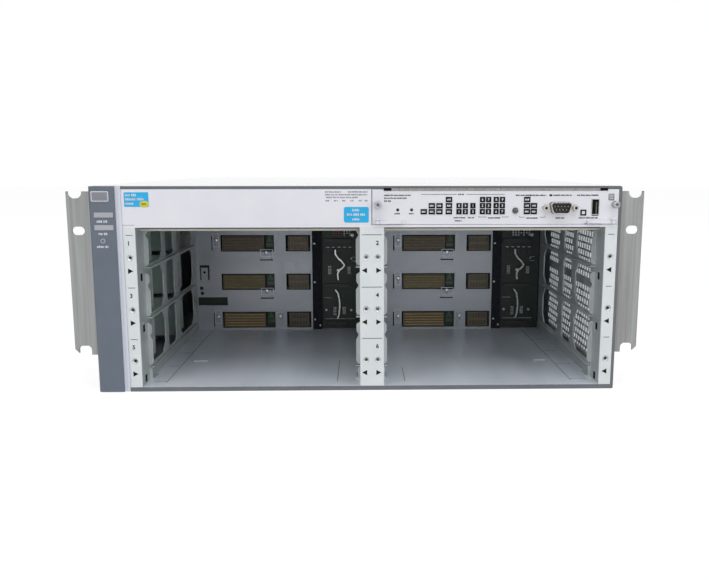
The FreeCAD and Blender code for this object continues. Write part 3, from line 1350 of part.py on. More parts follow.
def power_inlet():
    """Mains inlet: rimmed body with a deep recess and three flat blades."""
    x, z = psu_place(INLET_X)
    face = REAR_FACE + PSU_SHEET
    w = INLET_SIZE[0] / 2
    h = INLET_SIZE[1] / 2
    rim = box(x - w - INLET_RIM, x + w + INLET_RIM, face, face + INLET_RIM_SHEET,
              z - h - INLET_RIM, z + h + INLET_RIM)
    body = box(x - w, x + w, face - INLET_DEPTH - INLET_WALL, face, z - h, z + h)
    t = INLET_WALL
    c = INLET_CORNER
    mouth = [
        (x - w + t, z - h + t), (x + w - t, z - h + t), (x + w - t, z + h - t - c),
        (x + w - t - c, z + h - t), (x - w + t + c, z + h - t), (x - w + t, z + h - t - c),
    ]
    recess = prism_y(mouth, face - INLET_DEPTH, face + INLET_RIM_SHEET + PAST)
    width, height = INLET_PIN
    pins = []
    for dx, dz in INLET_PINS:
        pins.append(box(x + dx - width / 2, x + dx + width / 2, face - INLET_DEPTH - PAST,
                        face - INLET_PIN_SETBACK, z + dz - height / 2, z + dz + height / 2))
    return fuse([fuse([rim, body]).cut(recess)] + pins)


def psu_handle():
    """Bail handle: a flat bar with two bevelled bends, its feet on the rear plate."""
    x, z = psu_place(HANDLE_X)
    face = REAR_FACE + PSU_SHEET
    out = face + HANDLE_REACH
    half = HANDLE_PITCH / 2
    c = 2 * HANDLE_R
    outside = [
        (face, z - half - HANDLE_R), (out - c, z - half - HANDLE_R), (out, z - half - HANDLE_R + c),
        (out, z + half + HANDLE_R - c), (out - c, z + half + HANDLE_R), (face, z + half + HANDLE_R),
    ]
    k = HANDLE_R
    inside = [
        (face, z + half - k), (out - c - k / 2, z + half - k), (out - c, z + half - 1.5 * k),
        (out - c, z - half + 1.5 * k), (out - c - k / 2, z - half + k), (face, z - half + k),
    ]
    return prism_x(outside + inside, x - HANDLE_R, x + HANDLE_R)


def main():
    export("base_pan", base_pan())
    export("floor_plate", floor_plate())
    export("outer_cover", outer_cover())
    export("intake_vent_panel", intake_vent_panel())
    export("exhaust_vent_panel", exhaust_vent_panel())
    export("rear_panel", rear_panel())
    export("post_left", post(BAY_EDGES[0], LEFT_WALL_X, [(LEFT_WALL_X, -1)]))
    export("post_centre", post(MID_WALL_LEFT_X, MID_WALL_RIGHT_X,
                               [(MID_WALL_LEFT_X, 1), (MID_WALL_RIGHT_X, -1)]))
    export("post_right", post(RIGHT_WALL_X, RIGHT_EDGE, [(RIGHT_WALL_X, 1)]))
    export("clinch_nuts", clinch_nuts())
    export("left_guide_wall", guide_wall(LEFT_WALL_X, -1, CEILING))
    export("right_guide_wall", guide_wall(RIGHT_WALL_X, 1, SHELF_UNDER))
    export("centre_divider", centre_divider())
    export("management_shelf", management_shelf())
    export("blank_panel", blank_panel())
    export("upper_divider", upper_divider())
    export("back_plate_left", back_plate_left())
    export("back_plate_right", back_plate(BAY_EDGES[1], (0, 1, 2)))
    export("backplane_board", backplane_board())
    export("data_connectors", slot_sockets(BIG_WINDOW[0], DATA_PLUG_WIDTH, PLUG_ROWS))
    export("power_connectors", slot_sockets(SMALL_WINDOW[0] + POWER_PLUG_INSET, POWER_PLUG_WIDTH,
                                            POWER_ROWS))
    export("management_socket", management_socket())
    export("air_seals", air_seals())
    export("ground_straps", ground_straps())
    export("bezel", bezel())
    export("bezel_trim", bezel_trim())
    export("bezel_lenses", bezel_lenses())
    export("rack_ear_right", rack_ear())
    export("rack_ear_left", mirror_x(rack_ear()))
    export("rack_ear_screws", rack_ear_screws())
    export("module_faceplate", module_faceplate())
    export("module_tray", module_tray())
    export("module_board", module_board())
    export("module_plug", module_plug())
    export("serial_port_shell", serial_port_shell())
    export("serial_port_insert", serial_port_insert())
    export("jack_screws", jack_screws())
    export("usb_port", usb_port())
    export("led_windows", led_windows())
    for name, (x, way) in zip(("left", "right"), thumb_places()):
        export("captive_screw_" + name, captive_screw(x))
    for name, (x, way) in zip(("left", "right"), ejector_pivots()):
        export("ejector_" + name, ejector(x, way))
    for name, place in zip(("reset", "clear"), PIN_BUTTONS):
        export(name + "_button", push_button(on_face(place), SHELF_TOP + PIN_BUTTON_RISE,
                                             PIN_BUTTON_R, RUN_GAP, SMALL_SIDES))
    export("mode_button", push_button(on_face(MODE_BUTTON_AT), SHELF_TOP + MODE_BUTTON_RISE,
                                      MODE_BUTTON_R, -MODE_BUTTON_PROUD, ROUND_SIDES))
    export("fan_tray", fan_tray())
    export("fan_frames", fan_frames())
    for number, (y, z) in enumerate(fan_places(), 1):
        export("impeller_" + str(number), impeller(y, z))
    export("fan_tray_screw", fan_tray_screw())
    export("psu_blank_cover", psu_blank_cover())
    export("psu_case", psu_case())
    export("psu_impeller", psu_impeller())
    export("power_inlet", power_inlet())
    export("psu_handle", psu_handle())


main()
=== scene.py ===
import bmesh
import bpy
import math
import random
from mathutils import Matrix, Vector


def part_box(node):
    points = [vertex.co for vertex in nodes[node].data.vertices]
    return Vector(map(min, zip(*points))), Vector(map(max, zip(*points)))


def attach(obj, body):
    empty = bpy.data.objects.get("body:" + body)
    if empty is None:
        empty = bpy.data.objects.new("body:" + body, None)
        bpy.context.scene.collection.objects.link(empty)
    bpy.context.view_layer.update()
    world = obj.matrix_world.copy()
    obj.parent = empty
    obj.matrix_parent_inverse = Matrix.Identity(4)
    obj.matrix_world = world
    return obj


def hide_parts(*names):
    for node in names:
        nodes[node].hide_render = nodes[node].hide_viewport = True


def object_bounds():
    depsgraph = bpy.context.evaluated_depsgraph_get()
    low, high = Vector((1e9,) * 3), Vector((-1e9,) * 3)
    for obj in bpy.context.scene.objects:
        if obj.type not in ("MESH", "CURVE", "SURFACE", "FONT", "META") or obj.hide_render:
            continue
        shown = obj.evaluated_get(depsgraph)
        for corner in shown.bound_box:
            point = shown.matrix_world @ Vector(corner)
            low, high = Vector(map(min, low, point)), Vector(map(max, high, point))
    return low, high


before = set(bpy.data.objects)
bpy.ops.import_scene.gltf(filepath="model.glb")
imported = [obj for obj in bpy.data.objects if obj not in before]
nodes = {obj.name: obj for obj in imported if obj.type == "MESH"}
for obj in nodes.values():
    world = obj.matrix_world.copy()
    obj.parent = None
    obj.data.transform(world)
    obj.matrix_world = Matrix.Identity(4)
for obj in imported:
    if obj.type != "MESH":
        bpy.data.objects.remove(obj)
cad_box = [list(v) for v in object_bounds()]
scene = bpy.context.scene
MM = 0.001
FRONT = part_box("post_centre")[0].y            # front faces of the posts, in the frame's metres


def at(x, y, z):
    """A place given in millimetres: x and z in the frame, y behind the front faces of the posts."""
    return Vector((x * MM, FRONT + y * MM, z * MM))


def rgb(r, g, b):
    """Linear colour of an sRGB triple from 0 to 255."""
    out = []
    for c in (r, g, b):
        c /= 255
        out.append(c / 12.92 if c <= 0.04045 else ((c + 0.055) / 1.055) ** 2.4)
    return out + [1.0]


# ---- materials ----------------------------------------------------------------------------------
DUST = (196, 194, 188)
DUST_SCALE = 11.0             # scales of the noise that spreads dust, and of the zinc crystals
SPANGLE_SCALE = 260.0
SPANGLE_GAIN = 1.35           # how much brighter a zinc crystal is than the metal round it
BUMP_HEIGHT = 0.0004          # metres that a bump of strength 1 stands high
SHARP = 35                    # degrees between two faces from which a smooth shape keeps its edge


def link(tree, a, out, b, socket):
    """Joins the output named out of node a to a socket of node b."""
    tree.links.new(a.outputs[out], b.inputs[socket])


def node(tree, kind, **values):
    """A new node; values that start with in_ are for its sockets, the others for itself."""
    made = tree.nodes.new(kind)
    for key, value in values.items():
        if key.startswith("in_"):
            made.inputs[key[3:].replace("_", " ")].default_value = value
        else:
            setattr(made, key, value)
    return made


def noise(tree, coords, scale, detail=4.0, stretch=(1, 1, 1)):
    """Noise in the object's own coordinates, stretched where a part of stretch is below 1."""
    mapping = node(tree, "ShaderNodeMapping")
    mapping.inputs["Scale"].default_value = stretch
    link(tree, coords, "Object", mapping, "Vector")
    made = node(tree, "ShaderNodeTexNoise", in_Scale=scale, in_Detail=detail)
    link(tree, mapping, "Vector", made, "Vector")
    return made


def between(tree, source, out, low, high, a=0.3, b=0.7):
    """A value that goes from low to high while the source goes from a to b."""
    made = node(tree, "ShaderNodeMapRange")
    for key, value in (("From Min", a), ("From Max", b), ("To Min", low), ("To Max", high)):
        made.inputs[key].default_value = value
    link(tree, source, out, made, "Value")
    return made


def mix(tree, factor, first, second):
    """Colour mix; first and second are colours or (node, output) pairs."""
    made = node(tree, "ShaderNodeMix", data_type="RGBA")
    link(tree, factor[0], factor[1], made, 0)
    for index, value in ((6, first), (7, second)):
        if isinstance(value, tuple):
            tree.links.new(value[0].outputs[value[1]], made.inputs[index])
        else:
            made.inputs[index].default_value = value
    return made


def finish(name, colour, other, rough, metal=0.0, patch=30.0, grain=900.0, bump=0.05,
           spread=0.08, stretch=(1, 1, 1), edge=None, edge_width=0.35, edge_amount=0.6,
           coat=0.0, spangle=0.0, specular=0.5, dust=0.0):
    """A surface with patchy colour between two tones, uneven roughness, fine grain, and light
    edges.

    patch and grain are the scales of the colour patches and of the fine bump; spread is how far
    the roughness strays; edge is the tone of the edges, partly wear and partly a painted highlight,
    edge_width in millimetres; spangle and dust add bright crystals and pale settled dust.
    """
    colour, other = rgb(*colour), rgb(*other)
    material = bpy.data.materials.new(name)
    material.use_nodes = True
    tree = material.node_tree
    shader = tree.nodes["Principled BSDF"]
    coords = node(tree, "ShaderNodeTexCoord")
    patches = noise(tree, coords, patch, 5.0, stretch)
    fine = noise(tree, coords, grain, 3.0, stretch)
    tone = mix(tree, (between(tree, patches, "Fac", 0.0, 1.0), "Result"), colour, other)
    last = (tone, 2)
    if spangle:
        cells = node(tree, "ShaderNodeTexVoronoi", in_Scale=SPANGLE_SCALE)
        link(tree, coords, "Object", cells, "Vector")
        speck = between(tree, cells, "Color", 0.0, spangle, 0.0, 1.0)
        bright = [c * SPANGLE_GAIN for c in colour[:3]] + [1.0]
        last = (mix(tree, (speck, "Result"), last, bright), 2)
    if dust:
        drift = noise(tree, coords, DUST_SCALE, 6.0)
        amount = between(tree, drift, "Fac", 0.0, dust, 0.45, 0.75)
        last = (mix(tree, (amount, "Result"), last, rgb(*DUST)), 2)
    bevel = node(tree, "ShaderNodeBevel", samples=4)
    bevel.inputs["Radius"].default_value = edge_width * MM
    if edge:
        # lighter edges, partly wear and partly a painted highlight, where the rounded normal strays
        # from the face's own
        geometry_node = node(tree, "ShaderNodeNewGeometry")
        dot = node(tree, "ShaderNodeVectorMath", operation="DOT_PRODUCT")
        link(tree, bevel, "Normal", dot, 0)
        link(tree, geometry_node, "Normal", dot, 1)
        edge_wear_and_highlight = between(tree, dot, "Value", edge_amount, 0.0, 0.72, 0.98)
        rubbed_and_lit = node(tree, "ShaderNodeMath", operation="MULTIPLY")
        link(tree, edge_wear_and_highlight, "Result", rubbed_and_lit, 0)
        link(tree, between(tree, patches, "Fac", 0.35, 1.0, 0.35, 0.6), "Result", rubbed_and_lit, 1)
        last = (mix(tree, (rubbed_and_lit, "Value"), last, rgb(*edge)), 2)
    tree.links.new(last[0].outputs[last[1]], shader.inputs["Base Color"])
    gloss = between(tree, fine, "Fac", max(rough - spread, 0.02), min(rough + spread, 1.0))
    link(tree, gloss, "Result", shader, "Roughness")
    height = node(tree, "ShaderNodeBump", in_Strength=bump, in_Distance=BUMP_HEIGHT)
    link(tree, fine, "Fac", height, "Height")
    link(tree, bevel, "Normal", height, "Normal")
    link(tree, height, "Normal", shader, "Normal")
    shader.inputs["Metallic"].default_value = metal
    shader.inputs["Specular IOR Level"].default_value = specular
    shader.inputs["Coat Weight"].default_value = coat
    return material


BARE_AND_LIT_EDGE = (205, 207, 208)       # bright metal where an edge is rubbed, and a painted highlight on the edge
SURFACES = {
    "cover_paint": ((74, 78, 85), (82, 86, 93), 0.36,
        dict(bump=0.05, grain=1400, edge=(126, 129, 134), edge_amount=0.4, coat=1.0)),
    # the cover's paint made lighter for the base pan's front band: painted light
    "base_paint_painted_light": ((92, 96, 104), (100, 104, 112), 0.36,
        dict(bump=0.1, grain=1200, edge=(140, 143, 148), edge_amount=0.4, coat=0.2)),
    # edges strongly lightened: painted highlight on the rims round the openings
    "wall_steel": ((168, 174, 174), (184, 190, 190), 0.4,
        dict(metal=0.4, patch=30, bump=0.12, grain=700, edge=(240, 243, 242), edge_amount=0.9,
             edge_width=0.5)),
    "board_green": ((52, 88, 60), (40, 70, 48), 0.4, dict(bump=0.05, grain=900, patch=160)),
    "bezel_plastic": ((92, 101, 114), (98, 108, 120), 0.45,
        dict(bump=0.2, grain=1800, edge=(124, 132, 144), edge_amount=0.3)),
    "post_paint": ((212, 219, 221), (219, 224, 225), 0.38,
        dict(bump=0.12, grain=1200, edge=(240, 242, 242), edge_amount=0.5, dust=0.1)),
    "panel_paint": ((219, 220, 228), (226, 226, 233), 0.36,
        dict(bump=0.12, grain=1200, edge=(240, 240, 242), edge_amount=0.5, dust=0.08)),
    "plated_steel": ((170, 176, 178), (184, 189, 190), 0.42,
        dict(metal=0.45, bump=0.08, grain=700, edge=BARE_AND_LIT_EDGE, spangle=0.05)),
    "back_steel": ((160, 165, 172), (172, 177, 183), 0.42,
        dict(metal=0.45, bump=0.06, grain=600, edge=BARE_AND_LIT_EDGE, stretch=(0.2, 1, 1))),
    "floor_steel": ((210, 218, 227), (225, 231, 238), 0.34,
        dict(metal=0.3, bump=0.01, grain=90, spread=0.02, edge=BARE_AND_LIT_EDGE, stretch=(1, 0.12, 1))),
    "plated_bright": ((134, 134, 132), (160, 163, 164), 0.36,
        dict(metal=0.5, patch=70, bump=0.12, grain=600, edge=(214, 216, 215),
             stretch=(4, 4, 0.1))),
    "trim_silver": ((198, 202, 214), (206, 210, 220), 0.34,
        dict(metal=0.3, patch=9, bump=0.01, grain=500, spread=0.04, edge=(222, 226, 234),
             edge_amount=0.3, edge_width=0.2)),
    "badge_silver": ((196, 198, 204), (206, 208, 213), 0.34,
        dict(metal=0.3, patch=20, bump=0.01, grain=500, spread=0.04, edge=(230, 232, 236))),
    "badge_grey": ((126, 128, 136), (146, 148, 156), 0.4,
        dict(metal=0.3, patch=40, bump=0.01, grain=500, spread=0.04, edge=(180, 182, 188))),
    "lens_plastic": ((158, 160, 168), (172, 173, 180), 0.22,
        dict(bump=0.04, grain=700, edge=(205, 206, 212), coat=0.4)),
    "board_laminate": ((17, 33, 25), (26, 44, 32), 0.5,
        dict(bump=0.25, grain=1500, patch=120, edge=(62, 76, 58))),
    "connector_plastic": ((112, 101, 80), (98, 90, 74), 0.5,
        dict(bump=0.15, grain=1500, edge=(160, 146, 124))),
    "seal_foam": ((34, 36, 41), (46, 48, 54), 0.9,
        dict(bump=0.9, grain=1600, patch=300, specular=0.2)),
    "strap_steel": ((205, 207, 205), (186, 188, 186), 0.28,
        dict(metal=0.9, bump=0.05, grain=600, edge=(235, 235, 232))),
    "fastener_steel": ((206, 208, 210), (186, 188, 192), 0.3,
        dict(metal=0.9, bump=0.1, grain=900, edge=(236, 237, 238))),
    "black_plastic": ((30, 31, 34), (40, 41, 44), 0.45,
        dict(bump=0.2, grain=1300, edge=(70, 71, 74))),
    # the fans' plastic made pale in purple and green patches: painted light on the shaded fans
    # behind the walls, with painted green highlights
    "fan_plastic_painted_light": ((176, 172, 184), (146, 172, 156), 0.35,
        dict(bump=0.12, patch=22, grain=1300, edge=(156, 164, 158))),
    "port_grey": ((48, 48, 46), (62, 62, 59), 0.45,
        dict(bump=0.12, grain=1300, edge=(96, 96, 92), edge_width=0.15)),
    "led_plastic": ((8, 8, 14), (17, 17, 24), 0.5,
        dict(bump=0.03, grain=800, edge=(46, 47, 56), edge_width=0.15, specular=0.15)),
    "port_metal": ((196, 194, 184), (178, 176, 168), 0.28,
        dict(metal=0.9, bump=0.06, grain=800, edge=(228, 226, 218), edge_width=0.15)),
    "button_grey": ((44, 45, 52), (56, 57, 64), 0.25,
        dict(bump=0.02, grain=1200, edge=(150, 152, 158), coat=1.0)),
    "ink": ((13, 14, 17), (26, 28, 31), 0.6, dict(bump=0.05, patch=400, specular=0.15)),
    "grey_ink": ((112, 112, 118), (150, 150, 156), 0.55, dict(bump=0.05, patch=700)),
    "white_ink": ((222, 224, 230), (200, 203, 212), 0.5, dict(bump=0.05, patch=600)),
    "label_blue": ((18, 166, 220), (36, 174, 226), 0.4,
        dict(bump=0.04, patch=90, edge=(150, 212, 238), edge_width=0.2)),
    "label_yellow": ((212, 208, 60), (196, 190, 48), 0.4, dict(bump=0.04, patch=200)),
    # the contacts' one metal in three tones, lightest low down: painted light and shade by height
    "painted_light_contacts_low": ((204, 172, 112), (178, 152, 104), 0.4,
        dict(metal=0.3, bump=0.05, grain=900, patch=160)),
    "painted_light_contacts_mid": ((146, 136, 78), (122, 112, 70), 0.4,
        dict(metal=0.3, bump=0.05, grain=900, patch=160)),
    "painted_light_contacts_high": ((112, 98, 76), (94, 84, 68), 0.4,
        dict(metal=0.3, bump=0.05, grain=900, patch=160)),
    # near black, mostly for painted shade in holes, slots, recesses and gaps
    "deep_black": ((9, 9, 11), (17, 17, 19), 0.8, dict(bump=0.05, patch=300, specular=0.1)),
    "thumb_steel": ((150, 152, 156), (184, 186, 190), 0.35,
        dict(metal=0.6, patch=400, bump=0.1, grain=900, edge=(214, 216, 220), edge_width=0.2)),
    "shelf_steel": ((208, 205, 192), (194, 192, 182), 0.45,
        dict(metal=0.2, bump=0.06, grain=900, stretch=(0.1, 1, 1))),
    "chip_black": ((36, 38, 40), (52, 54, 56), 0.5,
        dict(bump=0.2, grain=1600, edge=(84, 86, 88), edge_width=0.2)),
    "solder": ((196, 198, 196), (160, 164, 160), 0.35,
        dict(metal=0.8, bump=0.15, grain=900, patch=300)),
    "nut_steel": ((206, 208, 210), (180, 183, 186), 0.25,
        dict(metal=0.45, bump=0.04, grain=900, edge=(240, 240, 242), edge_width=0.15)),
    "olive_ink": ((120, 118, 30), (140, 136, 40), 0.5, dict(bump=0.05, patch=600)),
    "gasket": ((156, 155, 152), (134, 133, 130), 0.55,
        dict(metal=0.35, bump=0.6, grain=1900, patch=260, edge=(200, 196, 194))),
    "dark_contact": ((92, 84, 70), (78, 72, 62), 0.4,
        dict(metal=0.3, bump=0.08, grain=1200, edge=(150, 140, 126), edge_width=0.2)),
    "seam_shadow": ((62, 68, 74), (84, 90, 96), 0.5,
        dict(metal=0.4, bump=0.1, grain=900, patch=90)),
    "part_red": ((150, 84, 78), (128, 70, 66), 0.5,
        dict(bump=0.1, grain=1200, edge=(190, 130, 120))),
}
M = {name: finish(name, first, second, rough, **more)
     for name, (first, second, rough, more) in SURFACES.items()}

NODE_FINISH = {
    "base_pan": "base_paint_painted_light", "floor_plate": "floor_steel", "outer_cover": "cover_paint",
    "intake_vent_panel": "plated_steel", "exhaust_vent_panel": "cover_paint",
    "rear_panel": "plated_steel", "post_left": "post_paint", "post_centre": "post_paint",
    "post_right": "post_paint", "clinch_nuts": "fastener_steel", "left_guide_wall": "wall_steel",
    "right_guide_wall": "wall_steel", "centre_divider": "plated_steel",
    "management_shelf": "panel_paint", "blank_panel": "panel_paint",
    "upper_divider": "plated_steel", "back_plate_left": "back_steel",
    "back_plate_right": "back_steel",
    "backplane_board": "board_laminate", "data_connectors": "connector_plastic",
    "power_connectors": "connector_plastic", "management_socket": "connector_plastic",
    "air_seals": "seal_foam", "ground_straps": "strap_steel", "bezel": "bezel_plastic",
    "bezel_trim": "trim_silver", "bezel_lenses": "lens_plastic", "rack_ear_left": "plated_bright",
    "rack_ear_right": "plated_bright", "rack_ear_screws": "fastener_steel",
    "psu_blank_cover": "plated_steel", "module_faceplate": "panel_paint",
    "module_tray": "plated_steel", "module_board": "board_laminate",
    "module_plug": "connector_plastic", "serial_port_shell": "port_metal",
    "serial_port_insert": "port_grey", "jack_screws": "port_metal",
    "usb_port": "port_metal", "led_windows": "led_plastic", "captive_screw_left": "thumb_steel",
    "captive_screw_right": "thumb_steel", "ejector_left": "panel_paint",
    "ejector_right": "panel_paint", "reset_button": "black_plastic",
    "clear_button": "black_plastic", "mode_button": "button_grey", "fan_tray": "plated_steel",
    "fan_frames": "fan_plastic_painted_light", "fan_tray_screw": "fastener_steel", "psu_case": "plated_steel",
    "psu_impeller": "black_plastic", "power_inlet": "black_plastic", "psu_handle": "plated_bright",
}
NODE_FINISH.update({f"impeller_{number}": "fan_plastic_painted_light" for number in range(1, 7)})
for name, cad_object in nodes.items():
    cad_object.data.materials.clear()
    cad_object.data.materials.append(M[NODE_FINISH[name]])


# ---- mesh building ------------------------------------------------------------------------------
LAP = 0.02                    # how far print and fittings reach into the face they lie on, mm
PRINT = 0.10                  # thickness of ink and labels, mm
BOX_FACES = [(0, 3, 2, 1), (4, 5, 6, 7), (0, 1, 5, 4), (1, 2, 6, 5), (2, 3, 7, 6), (3, 0, 4, 7)]


def circle(sides):
    """The angles of a polygon's corners."""
    return [2 * math.pi * i / sides for i in range(sides)]


def band(row, after, sides):
    """The faces between two rings of points, numbered by row."""
    return [(row * sides + i, row * sides + (i + 1) % sides, after * sides + (i + 1) % sides,
             after * sides + i) for i in range(sides)]


class Shape:
    """Collects flat outlines drawn in the X-Z plane and pushed along Y, and other solids."""

    def __init__(self):
        self.points = []
        self.faces = []

    def add(self, points, faces):
        first = len(self.points)
        self.points += [tuple(p) for p in points]
        self.faces += [tuple(first + i for i in face) for face in faces]

    def outline(self, ring, y0, y1):
        """A convex outline of (x, z) in millimetres, from depth y0 to y1."""
        n = len(ring)
        points = [at(x, y0, z) for x, z in ring] + [at(x, y1, z) for x, z in ring]
        faces = [tuple(range(n)), tuple(range(2 * n - 1, n - 1, -1))]
        faces += [(i, n + i, n + (i + 1) % n, (i + 1) % n) for i in range(n)]
        self.add(points, faces)

    def slab(self, x0, x1, y0, y1, z0, z1):
        self.outline([(x0, z0), (x1, z0), (x1, z1), (x0, z1)], y0, y1)

    def disc(self, x, z, r, y0, y1, sides=24, squash=1.0):
        self.outline([(x + r * math.cos(t), z + r * squash * math.sin(t)) for t in circle(sides)],
                     y0, y1)

    def rounded(self, x0, x1, y0, y1, z0, z1, r, steps=4):
        """A slab with round corners of radius r."""
        ring = []
        for cx, cz, start in ((x1 - r, z1 - r, 0), (x0 + r, z1 - r, 1), (x0 + r, z0 + r, 2),
                              (x1 - r, z0 + r, 3)):
            for i in range(steps + 1):
                t = math.pi / 2 * (start + i / steps)
                ring.append((cx + r * math.cos(t), cz + r * math.sin(t)))
        self.outline(ring, y0, y1)

    def turned(self, x, z, profile, sides=24, closed=False):
        """A solid of revolution about a Y axis from (radius, depth) pairs, front to back.

        A closed profile comes back to its start and makes a ring; an open one is capped.
        """
        rows = len(profile)
        points = [at(x + radius * math.cos(t), y, z + radius * math.sin(t))
                  for radius, y in profile for t in circle(sides)]
        faces = []
        for row in range(rows if closed else rows - 1):
            faces += band(row, (row + 1) % rows, sides)
        if not closed:
            faces.append(tuple(range(sides - 1, -1, -1)))
            faces.append(tuple((rows - 1) * sides + i for i in range(sides)))
        self.add(points, faces)

    def make(self, name, finish_name, body, slot, bevel=0.0, smooth=False, replaces=()):
        """The collected solids as one piece that rides on a body; bevel in millimetres."""
        mesh = bpy.data.meshes.new(name)
        mesh.from_pydata(self.points, [], self.faces)
        mesh.validate()
        piece = bpy.data.objects.new(name, mesh)
        scene.collection.objects.link(piece)
        recalculate(mesh)
        mesh.materials.append(M[finish_name])
        if smooth:
            mesh.shade_smooth()
            mesh.set_sharp_from_angle(angle=math.radians(SHARP))
        if bevel:
            rounding = piece.modifiers.new("rounding", "BEVEL")
            rounding.width = bevel * MM
            rounding.segments = 2
            rounding.limit_method = "ANGLE"
        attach(piece, body)
        if replaces:
            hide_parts(*replaces)


def recalculate(mesh):
    """Turns all faces of a mesh outwards."""
    work = bmesh.new()
    work.from_mesh(mesh)
    bmesh.ops.recalc_face_normals(work, faces=work.faces)
    work.to_mesh(mesh)
    work.free()


# ---- where the solids of the CAD nodes are ------------------------------------------------------
def solids(name):
    """Boxes (low, high) in millimetres of a CAD node's solids, with y behind the posts' faces."""
    mesh = nodes[name].data
    leader = list(range(len(mesh.vertices)))

    def find(i):
        while leader[i] != i:
            leader[i] = leader[leader[i]]
            i = leader[i]
        return i

    for edge in mesh.edges:
        first, second = (find(i) for i in edge.vertices)
        leader[first] = second
    groups = {}
    for vertex in mesh.vertices:
        groups.setdefault(find(vertex.index), []).append(vertex.co)
    boxes = []
    for points in groups.values():
        low = [min(p[i] for p in points) / MM for i in range(3)]
        high = [max(p[i] for p in points) / MM for i in range(3)]
        low[1] -= FRONT / MM
        high[1] -= FRONT / MM
        boxes.append((low, high))
    return merged(boxes)


def merged(boxes):
    """Boxes that overlap or touch become one, so that unjoined faces of one solid count once."""
    slack = 0.01
    done = False
    while not done:
        done = True
        for i in range(len(boxes)):
            for j in range(i + 1, len(boxes)):
                (a0, a1), (b0, b1) = boxes[i], boxes[j]
                if all(a0[k] <= b1[k] + slack and b0[k] <= a1[k] + slack for k in range(3)):
                    boxes[i] = ([min(*p) for p in zip(a0, b0)], [max(*p) for p in zip(a1, b1)])
                    del boxes[j]
                    done = False
                    break
            if not done:
                break
    return sorted(boxes, key=lambda b: (round(b[0][2], 1), round(b[0][0], 1)))


def centre(low, high):
    """The middle (x, z) of a box, seen from the front."""
    return (low[0] + high[0]) / 2, (low[2] + high[2]) / 2


def front_of(name):
    """How far a node's front lies behind the posts' faces, in millimetres."""
    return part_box(name)[0].y / MM - FRONT / MM


# ---- print and small fittings -------------------------------------------------------------------
def numeral(shape, text, x, z, height, y):
    """A plain figure, centred at (x, z), as thin print on a surface that faces the front."""
    curve = bpy.data.curves.new("numeral", "FONT")
    curve.body = text
    curve.size = height * 1.4 * MM            # figures stand about 0.7 of the font's size high
    curve.extrude = PRINT / 2 * MM
    curve.resolution_u = 3
    curve.offset = height * 0.035 * MM        # a bolder stroke
    holder = bpy.data.objects.new("numeral", curve)
    scene.collection.objects.link(holder)
    bpy.context.view_layer.update()
    mesh = bpy.data.meshes.new_from_object(holder)
    across = [v.co.x for v in mesh.vertices]
    up = [v.co.y for v in mesh.vertices]
    dx, dz = (min(across) + max(across)) / 2, (min(up) + max(up)) / 2
    place = at(x, y, z)
    points = [(place.x + v.co.x - dx, place.y - v.co.z, place.z + v.co.y - dz)
              for v in mesh.vertices]
    shape.add(points, [tuple(p.vertices) for p in mesh.polygons])
    bpy.data.objects.remove(holder)
    bpy.data.curves.remove(curve)
    bpy.data.meshes.remove(mesh)


def legend(shape, x0, x1, z, height, y, seed):
    """A line of generic print: small blocks in groups, no letters."""
    pick = random.Random(seed)
    x = x0
    block = height * 0.62
    while x + block < x1:
        for _ in range(pick.randint(3, 7)):
            if x + block > x1:
                return
            rise = height * pick.choice((0.0, 0.0, 0.18))
            wide = block * pick.choice((0.55, 0.8, 1.0))
            shape.slab(x, x + wide, y - PRINT, y + LAP, z - height / 2, z + height / 2 - rise)
            x += wide + block * 0.3
        x += block * 0.7


def triangle(shape, x, z, way, wide=4.3, tall=4.6):
    """An arrow head on the posts' faces; way is 1 to the right and -1 to the left."""
    tip = x + way * wide / 2
    root = x - way * wide / 2
    shape.outline([(root, z - tall / 2), (tip, z), (root, z + tall / 2)][::way], -PRINT, LAP)


def flat(shape, x0, x1, y0, y1, thick=0.06):
    """A thin mark on the bays' floor."""
    low, high = at(x0, y0, FLOOR_TOP - LAP), at(x1, y1, FLOOR_TOP + thick)
    points = [(x, y, z) for z in (low.z, high.z) for x, y in ((low.x, low.y), (high.x, low.y),
                                                              (high.x, high.y), (low.x, high.y))]
    shape.add(points, BOX_FACES)


def screw_head(heads, cross_shades, place, out, r=2.7):
    """A pan head whose cross recess is drawn in painted shade, standing out of a surface along the
    unit vector out.
    """
    rise = 1.2
    sides = 20
    out = Vector(out)
    side = out.orthogonal().normalized()
    up = out.cross(side)
    rings = ((r, -0.05), (r, rise * 0.45), (r * 0.8, rise * 0.85), (r * 0.45, rise))
    points = [place + (out * height + (side * math.cos(t) + up * math.sin(t)) * radius) * MM
              for radius, height in rings for t in circle(sides)]
    faces = []
    for row in range(len(rings) - 1):
        faces += band(row, row + 1, sides)
    faces += [tuple(range(sides - 1, -1, -1)),
              tuple(range((len(rings) - 1) * sides, len(rings) * sides))]
    heads.add(points, faces)
    for along, across in ((side, up), (up, side)):
        corners = []
        for height in (rise * 0.7, rise + 0.06):
            for a, b in ((-1, -1), (1, -1), (1, 1), (-1, 1)):
                off = out * height + along * a * r * 0.52 + across * b * 0.3
                corners.append(place + off * MM)
        cross_shades.add(corners, BOX_FACES)


